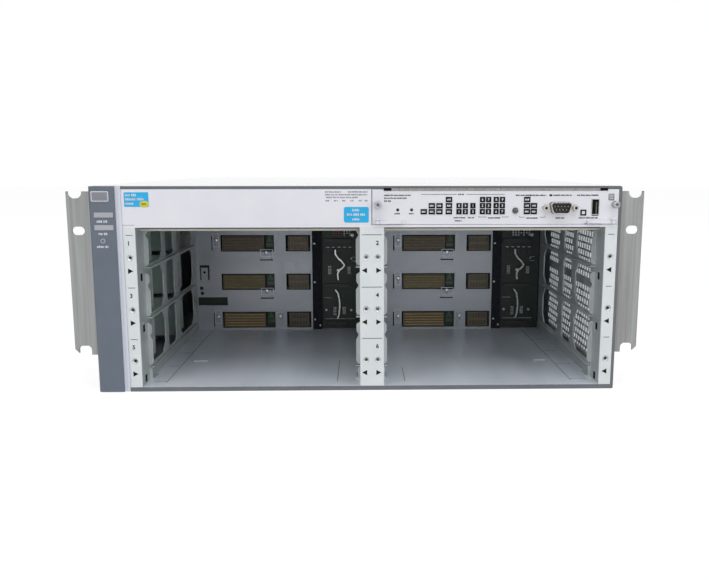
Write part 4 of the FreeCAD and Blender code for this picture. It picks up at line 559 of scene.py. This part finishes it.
# ---- places the dressing is set out from, in millimetres ----------------------------------------
PITCH = 44.45                 # height of a module slot
LINE_DROP = 8.4               # from the shelf's top down to the line over the upper slots
SLOT_LINES = [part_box("management_shelf")[1].z / MM - LINE_DROP - PITCH * row for row in range(3)]
LOWEST_WINDOW = 19.15         # middle of the back plates' lowest windows
WINDOW_MIDDLES = [LOWEST_WINDOW + PITCH * row for row in range(3)]
BOARD = front_of("backplane_board")
PLATE = front_of("back_plate_left") + 1.2     # the back plates' face, behind their pressed tabs
FLOOR_TOP = 3.8
REAR = 451.0                  # faces at the back: rear panel, blank cover and supply
BLANK_FACE = 452.2
SUPPLY_FACE = 452.5
COVER_SIDE = 222.0
LABEL = 0.14                  # thickness of the two blue labels
SPOT = 0.22                   # how far the yellow spot on one of them stands out
FACE_TOP = 171.3              # upper edge of the module's faceplate
FLANGE = 15.0                 # front of the shelf's stiffening flange
DRAWN_SEAL = -53.0            # left edge of the seal that the things beside it are drawn for
SEALS = solids("air_seals")
# how far those things are shifted to each bay's own seal, and the left bay's things to each bay
SEAL_SHIFTS = [low[0] - DRAWN_SEAL for low, high in (SEALS[0], SEALS[-1])]
BAY_SHIFTS = (0.0, SEAL_SHIFTS[1] - SEAL_SHIFTS[0])

# posts: a line over each slot, arrows at its screws, and plain slot numerals
post_boxes = [[v / MM for v in (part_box(n)[0].x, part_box(n)[1].x)]
              for n in ("post_left", "post_centre", "post_right")]
post_marks = Shape()
for z in SLOT_LINES:
    for (x0, x1), inset in zip(post_boxes, (2.2, 1.5, 2.6)):
        post_marks.slab(x0 + inset, x1 - inset, -PRINT, LAP, z - 0.22, z + 0.22)
    for x, way in ((-190.4, 1), (5.6, -1), (17.8, 1), (213.6, -1)):
        triangle(post_marks, x, z - 30.2, way)
post_marks.make("post_marks", "ink", "chassis", "black_plastic")
slot_numerals = Shape()
for row, z in enumerate(SLOT_LINES):
    for column, x in enumerate((-191.0, 16.6)):
        numeral(slot_numerals, str(2 * row + column + 1), x, z - 6.8, 3.6, -0.04)
slot_numerals.make("slot_numerals", "ink", "chassis", "black_plastic")

# clinch nuts: a dished ring round each bore
rings = Shape()
for low, high in solids("clinch_nuts"):
    x, z = centre(low, high)
    rings.turned(x, z, [(1.2, 5.4), (2.45, 5.4), (2.45, 0.3), (2.42, -0.04), (2.3, -0.1),
                        (2.15, -0.04), (1.3, 0.75), (1.2, 1.0)], sides=28, closed=True)
rings.make("clinch_nut_rings", "nut_steel", "chassis", "fastener_steel", smooth=True,
           replaces=("clinch_nuts",))

# bezel: bare badge plate, shaded lenses, light legends
badge = Shape()
badge.rounded(-219.4, -204.7, -2.45, -1.8, 162.6, 171.4, 1.0)
badge.make("badge_plate", "badge_silver", "chassis", "trim_silver", bevel=0.25)
badge_field = Shape()
badge_field.rounded(-218.5, -205.6, -2.5, -2.3, 163.5, 170.5, 0.7)
badge_field.make("badge_field", "badge_grey", "chassis", "trim_silver", bevel=0.1)
locator = Shape()
lens_shade = Shape()
for low, high in solids("bezel_lenses"):
    wide = high[0] - low[0]
    if wide < 8.0:
        x, z = centre(low, high)
        locator.disc(x, z, wide / 2 - 0.75, low[1] - 0.05, low[1] + 0.3, sides=28)
    else:
        lens_shade.slab(low[0], high[0], low[1] - 0.03, low[1] + 0.2, low[2], low[2] + 0.7)
        lens_shade.slab(low[0], low[0] + 0.35, low[1] - 0.04, low[1] + 0.2, low[2], high[2])
locator.make("locator_core", "bezel_plastic", "chassis", "bezel_plastic")
lens_shade.make("lens_shade", "badge_grey", "chassis", "lens_plastic")
bezel_print = Shape()
for z, half, seed in ((146.3, 4.9, 1), (136.1, 3.8, 2), (125.4, 5.7, 3)):
    legend(bezel_print, -210.6 - half, -210.6 + half, z, 1.9, front_of("bezel"), seed)
bezel_print.make("bezel_legends", "white_ink", "chassis", "lens_plastic")

# blank panel: two blue labels and small print
labels = Shape()
labels.rounded(-192.9, -172.7, -LABEL, LAP, 158.3, 170.3, 0.4)
labels.rounded(-11.4, 9.4, -LABEL, LAP, 144.9, 158.0, 1.6)
labels.make("panel_labels", "label_blue", "chassis", "trim_silver", bevel=0.04)
label_print = Shape()
for x0, x1, z, height, seed in (
        (-191.8, -181.0, 167.9, 1.9, 4), (-191.8, -174.4, 164.5, 1.9, 5),
        (-191.8, -184.6, 160.9, 1.7, 6), (-4.4, 2.2, 155.3, 1.9, 7), (-8.8, 7.0, 151.6, 1.9, 8),
        (-4.4, 2.4, 147.7, 1.8, 9)):
    legend(label_print, x0, x1, z, height, -LABEL, seed)
label_print.make("label_legends", "white_ink", "chassis", "trim_silver")
spot = Shape()
spot.disc(-176.4, 160.5, 3.8, -SPOT, LAP, sides=36, squash=0.72)
spot.make("label_spot", "label_yellow", "chassis", "trim_silver")
spot_print = Shape()
legend(spot_print, -178.6, -173.8, 160.6, 1.5, -SPOT, 10)
spot_print.make("label_spot_legend", "olive_ink", "chassis", "trim_silver")
panel_print = Shape()
SMALL_PRINT = ((170.4, ((-27.0, -13.0), (-8.0, 8.6))),
               (168.1, ((-27.0, 8.6),)),
               (165.9, ((-26.0, 0.5),)),
               (163.2, ((-26.5, -22.8), (-19.6, -16.0), (-12.6, -9.0), (-6.0, -2.4), (1.0, 4.2),
                        (6.0, 9.0))))
for row, (z, runs) in enumerate(SMALL_PRINT):
    for column, (x0, x1) in enumerate(runs):
        legend(panel_print, x0, x1, z, 1.1, 0, 20 + row * 7 + column)
panel_print.make("panel_print", "grey_ink", "chassis", "trim_silver")

# management module: print, lamp marks, key, gasket
face_print = Shape()
for x0, x1, z, seed in ((22.3, 45.2, 167.6, 41), (22.3, 42.0, 165.2, 42), (22.3, 28.0, 162.8, 43)):
    legend(face_print, x0, x1, z, 1.1, 0, seed)
for x0, x1, z, seed in ((30.8, 36.6, 152.3, 44), (43.0, 48.2, 152.3, 45), (84.0, 89.6, 168.3, 46),
                        (80.6, 90.6, 148.9, 47), (81.6, 88.0, 146.4, 48), (92.6, 98.2, 148.9, 49),
                        (109.6, 119.8, 148.7, 50), (141.4, 152.0, 148.5, 51),
                        (166.4, 174.6, 148.5, 52), (186.0, 202.6, 148.6, 53),
                        (132.4, 144.2, 167.5, 54), (146.2, 159.0, 167.5, 55),
                        (164.0, 180.0, 167.5, 56), (184.0, 203.0, 167.5, 57)):
    legend(face_print, x0, x1, z, 1.15, 0, seed)
for x0, x1, z in ((53.0, 82.6, 168.3), (91.0, 123.0, 168.3), (101.4, 108.4, 149.4),
                  (121.0, 126.2, 149.4), (136.0, 140.2, 149.2), (153.2, 157.6, 149.2)):
    face_print.slab(x0, x1, -PRINT, LAP, z - 0.16, z + 0.16)
for x in (101.4, 126.0, 136.0, 157.4):
    face_print.slab(x, x + 0.25, -PRINT, LAP, 149.2, 150.4)
for x0, x1, z0, z1 in ((144.2, 145.6, 166.8, 168.2), (160.6, 163.0, 166.7, 168.3)):
    face_print.slab(x0, x1, -PRINT, LAP, z0, z1)
face_print.make("module_print", "ink", "management_module", "black_plastic")
key_mark = Shape()
key_mark.rounded(210.4, 215.4, -PRINT, LAP, 163.2, 168.8, 0.5)
key_mark.make("module_key_mark", "grey_ink", "management_module", "button_grey")
key_lines = Shape()
for k in range(3):
    key_lines.slab(211.2, 214.6, -0.16, 0.0, 164.3 + 1.5 * k, 164.9 + 1.5 * k)
key_lines.make("module_key_lines", "white_ink", "management_module", "trim_silver")

lamp_marks = Shape()
lamp_face = front_of("led_windows")
count = 0
for low, high in solids("led_windows"):
    x, z = centre(low, high)
    if high[0] - low[0] > 4.9:
        legend(lamp_marks, x - 1.7, x + 1.8, z, 1.5, lamp_face + 0.04, 60 + count)
    else:
        numeral(lamp_marks, str(count % 9 + 1), x, z, 2.1, lamp_face - 0.02)
        count += 1
lamp_marks.make("lamp_marks", "white_ink", "management_module", "lens_plastic")
square_lamp = Shape()
square_lamp.rounded(187.2, 192.2, -0.45, LAP, 150.5, 155.5, 0.3)
square_lamp.make("square_lamp", "led_plastic", "management_module", "black_plastic", bevel=0.08)
square_lens = Shape()
square_lens.rounded(188.4, 191.0, -0.62, -0.3, 151.7, 154.3, 0.3)
square_lens.make("square_lamp_lens", "white_ink", "management_module", "lens_plastic", bevel=0.08)

# gasket between the faceplate's upper edge and the cover: a row of pads, a dark block at each end
gasket = Shape()
for k in range(25):
    x0 = 28.3 + k * 7.0
    gasket.rounded(x0, x0 + 6.85, -0.35, -0.03, FACE_TOP + 0.03, FACE_TOP + 1.95, 0.4, 3)
    gasket.slab(x0 + 0.2, x0 + 6.6, -0.04, 6.2, FACE_TOP + 0.05, FACE_TOP + 1.2)
gasket.make("module_gasket", "gasket", "management_module", "plated_bright", bevel=0.1)
gasket_ends = Shape()
for x0, x1 in ((21.8, 28.2), (203.4, 209.8)):
    gasket_ends.slab(x0, x1, -0.4, -0.02, FACE_TOP + 0.03, FACE_TOP + 2.3)
gasket_ends.make("module_gasket_ends", "deep_black", "management_module", "black_plastic",
                 bevel=0.1)

# shadow lines: under the faceplate's right end, and where the blank panel ends on the left post
faceplate_shadow = Shape()
faceplate_shadow.slab(190.5, 205.0, -0.12, LAP, 143.25, 143.75)
faceplate_shadow.make("faceplate_shadow", "deep_black", "management_module", "black_plastic")
panel_seam = Shape()
panel_seam.slab(-195.2, -185.3, -PRINT, LAP, 142.95, 143.25)
panel_seam.make("panel_seam", "grey_ink", "chassis", "black_plastic")

# shelf: the stiffening flange in each bay, in the shadow of the front edge
flange_face = Shape()
flange_shadow = Shape()
for x0, x1 in ((-185.0, 1.6), (22.4, 209.0)):
    flange_face.slab(x0, x1, FLANGE - 0.15, FLANGE + LAP, 137.0, 138.8)
    flange_shadow.slab(x0, x1, FLANGE - 0.2, FLANGE + LAP, 138.8, 141.8)
flange_face.make("shelf_flange", "shelf_steel", "chassis", "plated_steel")
flange_shadow.make("shelf_flange_shadow", "seam_shadow", "chassis", "plated_steel")

# captive screws: fluted head with a bevelled rim and a recessed cross, drawn in painted shade
for side in ("left", "right"):
    owner = "captive_screw_" + side
    low, high = solids(owner)[0]
    x, z = centre(low, high)
    front = low[1]
    screw = Shape()
    screw.turned(x, z, [(1.3, front + 0.5), (1.6, front), (2.45, front), (2.75, front + 0.3),
                        (2.75, -0.3), (2.0, -0.3), (2.0, high[1])], 32)
    for t in circle(20):
        screw.disc(x + 2.7 * math.cos(t), z + 2.7 * math.sin(t), 0.29, front + 0.35, -0.35, 8)
    screw.make("thumb_screw_" + side, "thumb_steel", owner, "fastener_steel", replaces=(owner,))
    # the cross recess as black slabs: painted shade
    cross = Shape()
    cross.slab(x - 0.3, x + 0.3, front + 0.42, front + 0.6, z - 1.1, z + 1.1)
    cross.slab(x - 1.1, x + 1.1, front + 0.43, front + 0.6, z - 0.3, z + 0.3)
    cross.make("thumb_cross_shade_" + side, "deep_black", owner, "black_plastic")

# the mode button's domed cap
low, high = solids("mode_button")[0]
cap = Shape()
cap.turned(*centre(low, high), [(0.3, low[1] - 0.62), (1.0, low[1] - 0.5), (1.6, low[1] - 0.26),
                                (2.0, low[1] + 0.05)], 28)
cap.make("mode_button_cap", "button_grey", "mode_button", "black_plastic", smooth=True)

# ports: painted shade inside the USB port and in the jack screws' bores, contact tongue, pins
low, high = [[v / MM for v in p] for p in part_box("usb_port")]
usb_inside_shade = Shape()
usb_inside_shade.slab(low[0] + 0.55, high[0] - 0.55, -0.1, 0.2, low[2] + 0.75, high[2] - 0.75)
usb_inside_shade.make("usb_inside_shade", "deep_black", "management_module", "black_plastic")
usb_tongue = Shape()
usb_tongue.slab(low[0] + 3.6, low[0] + 4.8, -0.3, -0.08, low[2] + 1.6, high[2] - 2.6)
usb_tongue.make("usb_tongue", "button_grey", "management_module", "black_plastic", bevel=0.15)
# black discs in the jack screws' bores: painted shade
jack_bore_shade = Shape()
for low, high in solids("jack_screws"):
    jack_bore_shade.disc(*centre(low, high), 1.15, low[1] - 0.03, low[1] + 0.4)
jack_bore_shade.make("jack_bore_shade", "deep_black", "management_module", "black_plastic")
PIN_PITCH = 2.77
port_x, port_z = centre(*solids("serial_port_shell")[0])[0], 157.0
pins = Shape()
for amount, z in ((5, port_z + 1.42), (4, port_z - 1.42)):
    for k in range(amount):
        x = port_x + (k - (amount - 1) / 2) * PIN_PITCH
        pins.turned(x, z, [(0.28, -5.0), (0.5, -4.7), (0.5, -0.5)], 12)
pins.make("serial_port_pins", "port_metal", "management_module", "port_metal", smooth=True)

# ---- backplane: what lies on the board beside the foam seals ------------------------------------
# x is drawn for a seal at DRAWN_SEAL; each bay's share is shifted to its own seal
RESISTORS = ((-35.2, -31.0, 67.6, 77.6), (-12.8, -8.8, 68.0, 76.6),
             (-29.6, -25.6, 19.2, 29.6), (-18.8, -14.8, 20.4, 29.4))
ROUND_JOINTS = ((-23.4, 72.5, 2.0), (-37.6, 25.9, 1.5), (-7.0, 113.0, 2.2), (-8.2, 86.0, 1.0),
                (-8.6, 25.6, 1.6))
LONG_CHIPS = ((-39.5, -8.0, 53.0, 56.6), (-39.6, -8.4, 104.0, 109.0), (-36.0, -12.0, 8.0, 12.4))
PRINTED_LINES = ((-39.5, -4.6, 15.2), (-8.0, -3.0, 83.0), (-8.0, -3.0, 87.6), (-39.8, -30.0, 40.0))
ROWS, COLUMNS = 6, 2          # small parts in each block of resistors
HALF_WIDE, HALF_TALL = 0.75, 0.42
RED_PARTS = 4                 # columns of red parts, in the left bay alone
chips = Shape()
solder = Shape()
silk = Shape()
reds = Shape()
for bay, shift in enumerate(SEAL_SHIFTS):
    pick = random.Random(7)
    for x0, x1, z0, z1 in RESISTORS:
        for row in range(ROWS):
            z = z0 + (row + 0.5) * (z1 - z0) / ROWS
            for column in range(COLUMNS):
                x = x0 + (column + 0.5) * (x1 - x0) / COLUMNS + shift
                target = pick.choice((silk, solder, solder))
                target.slab(x - HALF_WIDE, x + HALF_WIDE, BOARD - 0.5, BOARD + LAP,
                            z - HALF_TALL, z + HALF_TALL)
    for x, z, r in ROUND_JOINTS:
        solder.turned(x + shift, z, [(r * 0.75, BOARD - 1.5), (r, BOARD - 1.2),
                                     (r, BOARD + LAP)], 20)
    for x0, x1, z0, z1 in LONG_CHIPS:
        chips.slab(x0 + shift, x1 + shift, BOARD - 2.6, BOARD + LAP, z0, z1)
    for k in range(5):
        x = -36.8 + 6.4 * k + shift
        chips.slab(x, x + 3.6, BOARD - 1.2, BOARD + LAP, 92.0, 97.4)
        silk.slab(x, x + 3.4, BOARD - 0.14, BOARD + LAP, 98.6, 99.4)
    for x0, x1, z in PRINTED_LINES:
        silk.slab(x0 + shift, x1 + shift, BOARD - 0.12, BOARD + LAP, z - 0.2, z + 0.2)
    for k in range(7):
        x = -29.4 + 3.1 * k + shift
        target = reds if bay == 0 and k < RED_PARTS else silk
        for z in (112.2, 114.6, 117.0):
            if pick.random() < 0.75:
                target.slab(x, x + 1.7, BOARD - 0.6, BOARD + LAP, z, z + 1.3)
chips.make("board_chips", "chip_black", "chassis", "black_plastic", bevel=0.2)
solder.make("board_joints", "solder", "chassis", "strap_steel")
silk.make("board_print", "white_ink", "chassis", "lens_plastic")
reds.make("board_parts", "part_red", "chassis", "connector_plastic")

# data connectors: five rows of contacts of one metal, lighter in the lower slots and darker in the
# higher ones as painted light and shade
CONTACT_ROWS, CONTACT_COLUMNS = 5, 30
contacts = [Shape(), Shape(), Shape()]
for low, high in solids("data_connectors"):
    wide, tall = high[0] - low[0], high[2] - low[2]
    level = round((low[2] - WINDOW_MIDDLES[0]) / PITCH)
    for row in range(CONTACT_ROWS):
        z = low[2] + tall * (row + 0.62) / (CONTACT_ROWS + 0.25)
        for column in range(CONTACT_COLUMNS):
            x = low[0] + 1.5 + (wide - 3.0) * (column + 0.5) / CONTACT_COLUMNS
            contacts[level].slab(x - 0.62, x + 0.62, low[1] - 0.1, low[1] + 0.3, z - 0.75, z + 0.35)
for level, name in enumerate(("low", "mid", "high")):
    contacts[level].make("data_contacts_" + name, "painted_light_contacts_" + name, "chassis", "port_metal")

# windows: painted shadow in black strips round each connector, and green laminate with a keying
# mark beside it
LARGE_WINDOW = (-157.1, -96.4, -107.4)        # left edge, right edge, right end of its connector
SMALL_WINDOW = (-83.0, -54.8, -57.2)
window_shadows = Shape()
window_parts = Shape()
for shift in BAY_SHIFTS:
    for z in WINDOW_MIDDLES:
        z0, z1 = z - 9.4, z + 9.4
        for window in (LARGE_WINDOW, SMALL_WINDOW):
            x0, x1, clear = (x + shift for x in window)
            window_shadows.slab(x0 - 0.4, x0 + 1.5, BOARD - 0.9, BOARD + LAP, z0 - 0.3, z1 + 0.3)
            window_shadows.slab(x0 - 0.4, x1 + 0.4, BOARD - 1.5, BOARD + LAP, z1 - 1.5, z1 + 0.6)
            window_shadows.slab(x0 - 0.4, clear + 0.4, BOARD - 0.6, BOARD + LAP, z0 - 0.5, z0 + 0.8)
            window_shadows.slab(clear, clear + 1.0, BOARD - 0.6, BOARD + LAP, z0, z1)
        x0, x1 = -105.6 + shift, -97.6 + shift
        window_parts.slab(x0, x1, BOARD - 0.3, BOARD + LAP, z - 8.2, z - 4.0)
        window_parts.outline([(x0, z - 2.6), (x1, z - 2.6), ((x0 + x1) / 2, z + 5.0)],
                             BOARD - 0.3, BOARD + LAP)
window_shadows.make("window_shadows", "deep_black", "chassis", "black_plastic")
window_parts.make("window_parts", "board_green", "chassis", "board_laminate")

# power connectors: two rows of six blades
BLADE_ROWS, BLADE_COLUMNS = 2, 6
blades = Shape()
for low, high in solids("power_connectors"):
    wide, tall = high[0] - low[0], high[2] - low[2]
    for row in range(BLADE_ROWS):
        z = low[2] + tall * (row + 0.5) / BLADE_ROWS
        for column in range(BLADE_COLUMNS):
            x = low[0] + 1.6 + (wide - 3.2) * (column + 0.5) / BLADE_COLUMNS
            blades.slab(x - 1.2, x + 1.2, low[1] - 0.06, low[1] + 0.3, z - 2.7, z + 2.7)
blades.make("power_contacts", "dark_contact", "chassis", "port_metal")

# back plates: screws in the pressed tabs, painted highlights along the tabs' edges, a dot in the
# left plate's tongue
tab_screws = Shape()
tab_edge_highlights = Shape()
for shift, rows in zip(BAY_SHIFTS, ((0, 2), (0, 1, 2))):
    beside = [WINDOW_MIDDLES[row] for row in rows]
    below = WINDOW_MIDDLES[1:]
    places = [(-161.9, z) for z in beside] + [(-105.4, z - 14.2) for z in below]
    for x, z in places + [(-90.2, WINDOW_MIDDLES[0])]:
        tab_screws.turned(x + shift, z, [(0.7, PLATE - 3.1), (1.9, PLATE - 2.8), (2.4, PLATE - 1.9),
                                         (2.4, PLATE - 1.1)], 20)
    tabs = [(-165.8, -158.6, z - 8.0, z + 8.0) for z in beside]
    for x0, x1, z0, z1 in tabs + [(-112.0, -97.5, z - 19.0, z - 10.8) for z in below]:
        x0, x1 = x0 + shift, x1 + shift
        for a, b in ((x0, x0 + 0.7), (x1 - 0.7, x1)):
            tab_edge_highlights.slab(a, b, PLATE - 1.4, PLATE - 1.12, z0, z1)
        for a, b in ((z0, z0 + 0.6), (z1 - 0.6, z1)):
            tab_edge_highlights.slab(x0, x1, PLATE - 1.38, PLATE - 1.12, a, b)
tab_screws.make("tab_screws", "fastener_steel", "chassis", "fastener_steel", smooth=True)
tab_edge_highlights.make("tab_edge_highlights", "trim_silver", "chassis", "plated_steel")
tongue_dot = Shape()
tongue_dot.disc(-176.2, 71.1, 1.3, PLATE - 1.35, PLATE - 1.1, 16)
tongue_dot.make("tongue_dot", "deep_black", "chassis", "black_plastic")

# guide walls: painted shade in the slots near the front, one in each slot's height
wall_slot_shade = Shape()
for wall in (-185.2, 209.2):
    for row in range(3):
        z = 8.5 + PITCH * row
        wall_slot_shade.slab(wall - 0.04, wall + 0.04, 10.6, 15.4, z - 3.2, z + 3.2)
wall_slot_shade.make("wall_slot_shade", "deep_black", "chassis", "black_plastic")

# pips that hold the foam seals: place, radius of the tip, radius of the foot
PIPS = ((-50.4, 103.9, 0.75, 1.25), (-50.4, 59.2, 0.75, 1.25), (-50.4, 15.4, 0.66, 1.1),
        (-44.6, 8.6, 0.8, 1.2))
pips = Shape()
for shift in SEAL_SHIFTS:
    for x, z, tip, foot in PIPS:
        pips.turned(x + shift, z, [(tip, 232.4), (foot, 232.7), (foot, 233.62)], 16)
pips.make("seal_pips", "fastener_steel", "chassis", "fastener_steel", smooth=True)

# floor of the bays: bright pressed strips, and the seams along the walls and the divider
lances = Shape()
seams = Shape()
for x0, x1, y in ((-159.6, -147.0, 89.4), (171.4, 182.8, 85.6)):
    flat(lances, x0, x1, y - 1.1, y + 1.1, 0.5)
CROSSINGS = (18.0, 70.0, 122.0, 174.0)
for x, edge, back_y, crossings in ((-168.6, -180.0, 226.0, CROSSINGS), (-18.7, -4.0, 90.0, ()),
                                   (41.0, 28.0, 60.0, ()), (188.7, 204.0, 226.0, CROSSINGS)):
    flat(seams, x, x + 0.5, 14.0, back_y)
    for y in crossings:
        flat(seams, min(x, edge), max(x, edge), y, y + 0.5)
lances.make("floor_lances", "floor_steel", "chassis", "plated_steel", bevel=0.15)
seams.make("floor_seams", "seam_shadow", "chassis", "plated_steel")

# screws of the cover, the rear panel, the blank cover and the supply; their cross recesses are
# painted shade
BACKWARD, LEFTWARD, RIGHTWARD = (0, 1, 0), (-1, 0, 0), (1, 0, 0)
LOWER, UPPER = 10.4, 86.0     # heights of the screws at the supply bays
case_heads, case_cross_shades = Shape(), Shape()
for x in (-176.0, -88.0, 0.0, 88.0, 176.0):
    screw_head(case_heads, case_cross_shades, at(x, REAR, 168.4), BACKWARD, 2.3)
for x in (-175.0, 10.6):
    for z in (LOWER, UPPER):
        screw_head(case_heads, case_cross_shades, at(x, BLANK_FACE, z), BACKWARD)
for y in (290.0, 362.0, 434.0):
    for z in (12.0, 163.0):
        screw_head(case_heads, case_cross_shades, at(COVER_SIDE, y, z), RIGHTWARD)
        screw_head(case_heads, case_cross_shades, at(-COVER_SIDE, y, z), LEFTWARD)
case_heads.make("case_screws", "fastener_steel", "chassis", "fastener_steel", smooth=True)
case_cross_shades.make("case_screw_recess_shade", "deep_black", "chassis", "black_plastic")
supply_heads, supply_cross_shades = Shape(), Shape()
for x in (23.6, 209.2):
    for z in (LOWER, UPPER):
        screw_head(supply_heads, supply_cross_shades, at(x, SUPPLY_FACE, z), BACKWARD)
supply_heads.make("supply_screws", "fastener_steel", "power_supply", "fastener_steel", smooth=True)
supply_cross_shades.make("supply_screw_recess_shade", "deep_black", "power_supply", "black_plastic")

# ---- camera and light ---------------------------------------------------------------------------
# 642 mm before the posts' faces, looking slightly down; the shifts move the view off the axis
camera_data = bpy.data.cameras.new("camera")
camera_data.sensor_width = 36.0
camera_data.lens = 38.948547
camera_data.shift_x = -0.0342454
camera_data.shift_y = -0.0026657
camera_data.clip_start = 0.01
camera_data.clip_end = 50.0
camera = bpy.data.objects.new("camera", camera_data)
camera.location = at(2.075, -642.35, 192.40)
camera.rotation_euler = (math.radians(90.0 - 9.11), 0.0, -0.0244)
scene.collection.objects.link(camera)
scene.camera = camera
scene.view_settings.view_transform = "Standard"


def lamp(name, place, aim, size, power):
    """A rectangular lamp of size (width, height) in metres at a place, turned towards aim."""
    data = bpy.data.lights.new(name, "AREA")
    data.shape = "RECTANGLE"
    data.size, data.size_y = size
    data.energy = power
    made = bpy.data.objects.new(name, data)
    made.location = place
    made.rotation_euler = (Vector(aim) - Vector(place)).to_track_quat("-Z", "Y").to_euler()
    scene.collection.objects.link(made)
    return made


AIM = (0.0, 0.0, 0.06)        # the middle of the front's height
lamp("front_light", (0.2, -2.3, 0.5), AIM, (1.4, 0.9), 3.2).visible_glossy = False
lamp("left_light", (-1.5, -1.5, 0.9), AIM, (1.2, 1.2), 8.7)
lamp("right_light", (1.5, -1.5, 0.9), AIM, (1.2, 1.2), 10.0)
lamp("top_light", (0.0, -0.95, 2.0), (0.0, 0.0, 0.0), (2.2, 1.3), 25.0)


def either(tree, light_path):
    """1 for rays that show the background: camera, glossy and transmission rays."""
    seen = node(tree, "ShaderNodeMath", operation="MAXIMUM")
    link(tree, light_path, "Is Camera Ray", seen, 0)
    link(tree, light_path, "Is Glossy Ray", seen, 1)
    through = node(tree, "ShaderNodeMath", operation="MAXIMUM")
    link(tree, seen, "Value", through, 0)
    link(tree, light_path, "Is Transmission Ray", through, 1)
    return through


WHITE = (1.0, 1.0, 1.0, 1.0)
AMBIENT = 0.25                # strength of the world as a light; where it is seen it is white
world = bpy.data.worlds.new("world")
scene.world = world
world.use_nodes = True
sky = world.node_tree
background = sky.nodes["Background"]
strength = between(sky, either(sky, node(sky, "ShaderNodeLightPath")), "Value", AMBIENT, 1.0,
                   0.0, 1.0)
background.inputs["Color"].default_value = WHITE
link(sky, strength, "Result", background, "Strength")

# the floor looks white and takes the object's shadow; the object is lit by its plain grey
REACH = 6.0
BELOW = 0.0002                # clear of the underside, in metres
LIT_GREY, SEEN_GREY, SEEN_GLOW = 0.8, 0.22, 0.84
floor_mesh = bpy.data.meshes.new("studio_floor")
floor_mesh.from_pydata([(-REACH, -REACH, 0), (REACH, -REACH, 0), (REACH, REACH, 0),
                        (-REACH, REACH, 0)], [], [(0, 1, 2, 3)])
floor = bpy.data.objects.new("studio_floor", floor_mesh)
floor.location.z = cad_box[0][2] - BELOW
scene.collection.objects.link(floor)
floor_material = bpy.data.materials.new("studio_white")
floor_material.use_nodes = True
floor_tree = floor_material.node_tree
floor_shader = floor_tree.nodes["Principled BSDF"]
floor_shader.inputs["Roughness"].default_value = 0.9
shown = either(floor_tree, node(floor_tree, "ShaderNodeLightPath"))
paint = mix(floor_tree, (shown, "Value"), [LIT_GREY] * 3 + [1.0], [SEEN_GREY] * 3 + [1.0])
link(floor_tree, paint, 2, floor_shader, "Base Color")
floor_shader.inputs["Emission Color"].default_value = WHITE
glow = between(floor_tree, shown, "Value", 0.0, SEEN_GLOW, 0.0, 1.0)
link(floor_tree, glow, "Result", floor_shader, "Emission Strength")
floor_mesh.materials.append(floor_material)
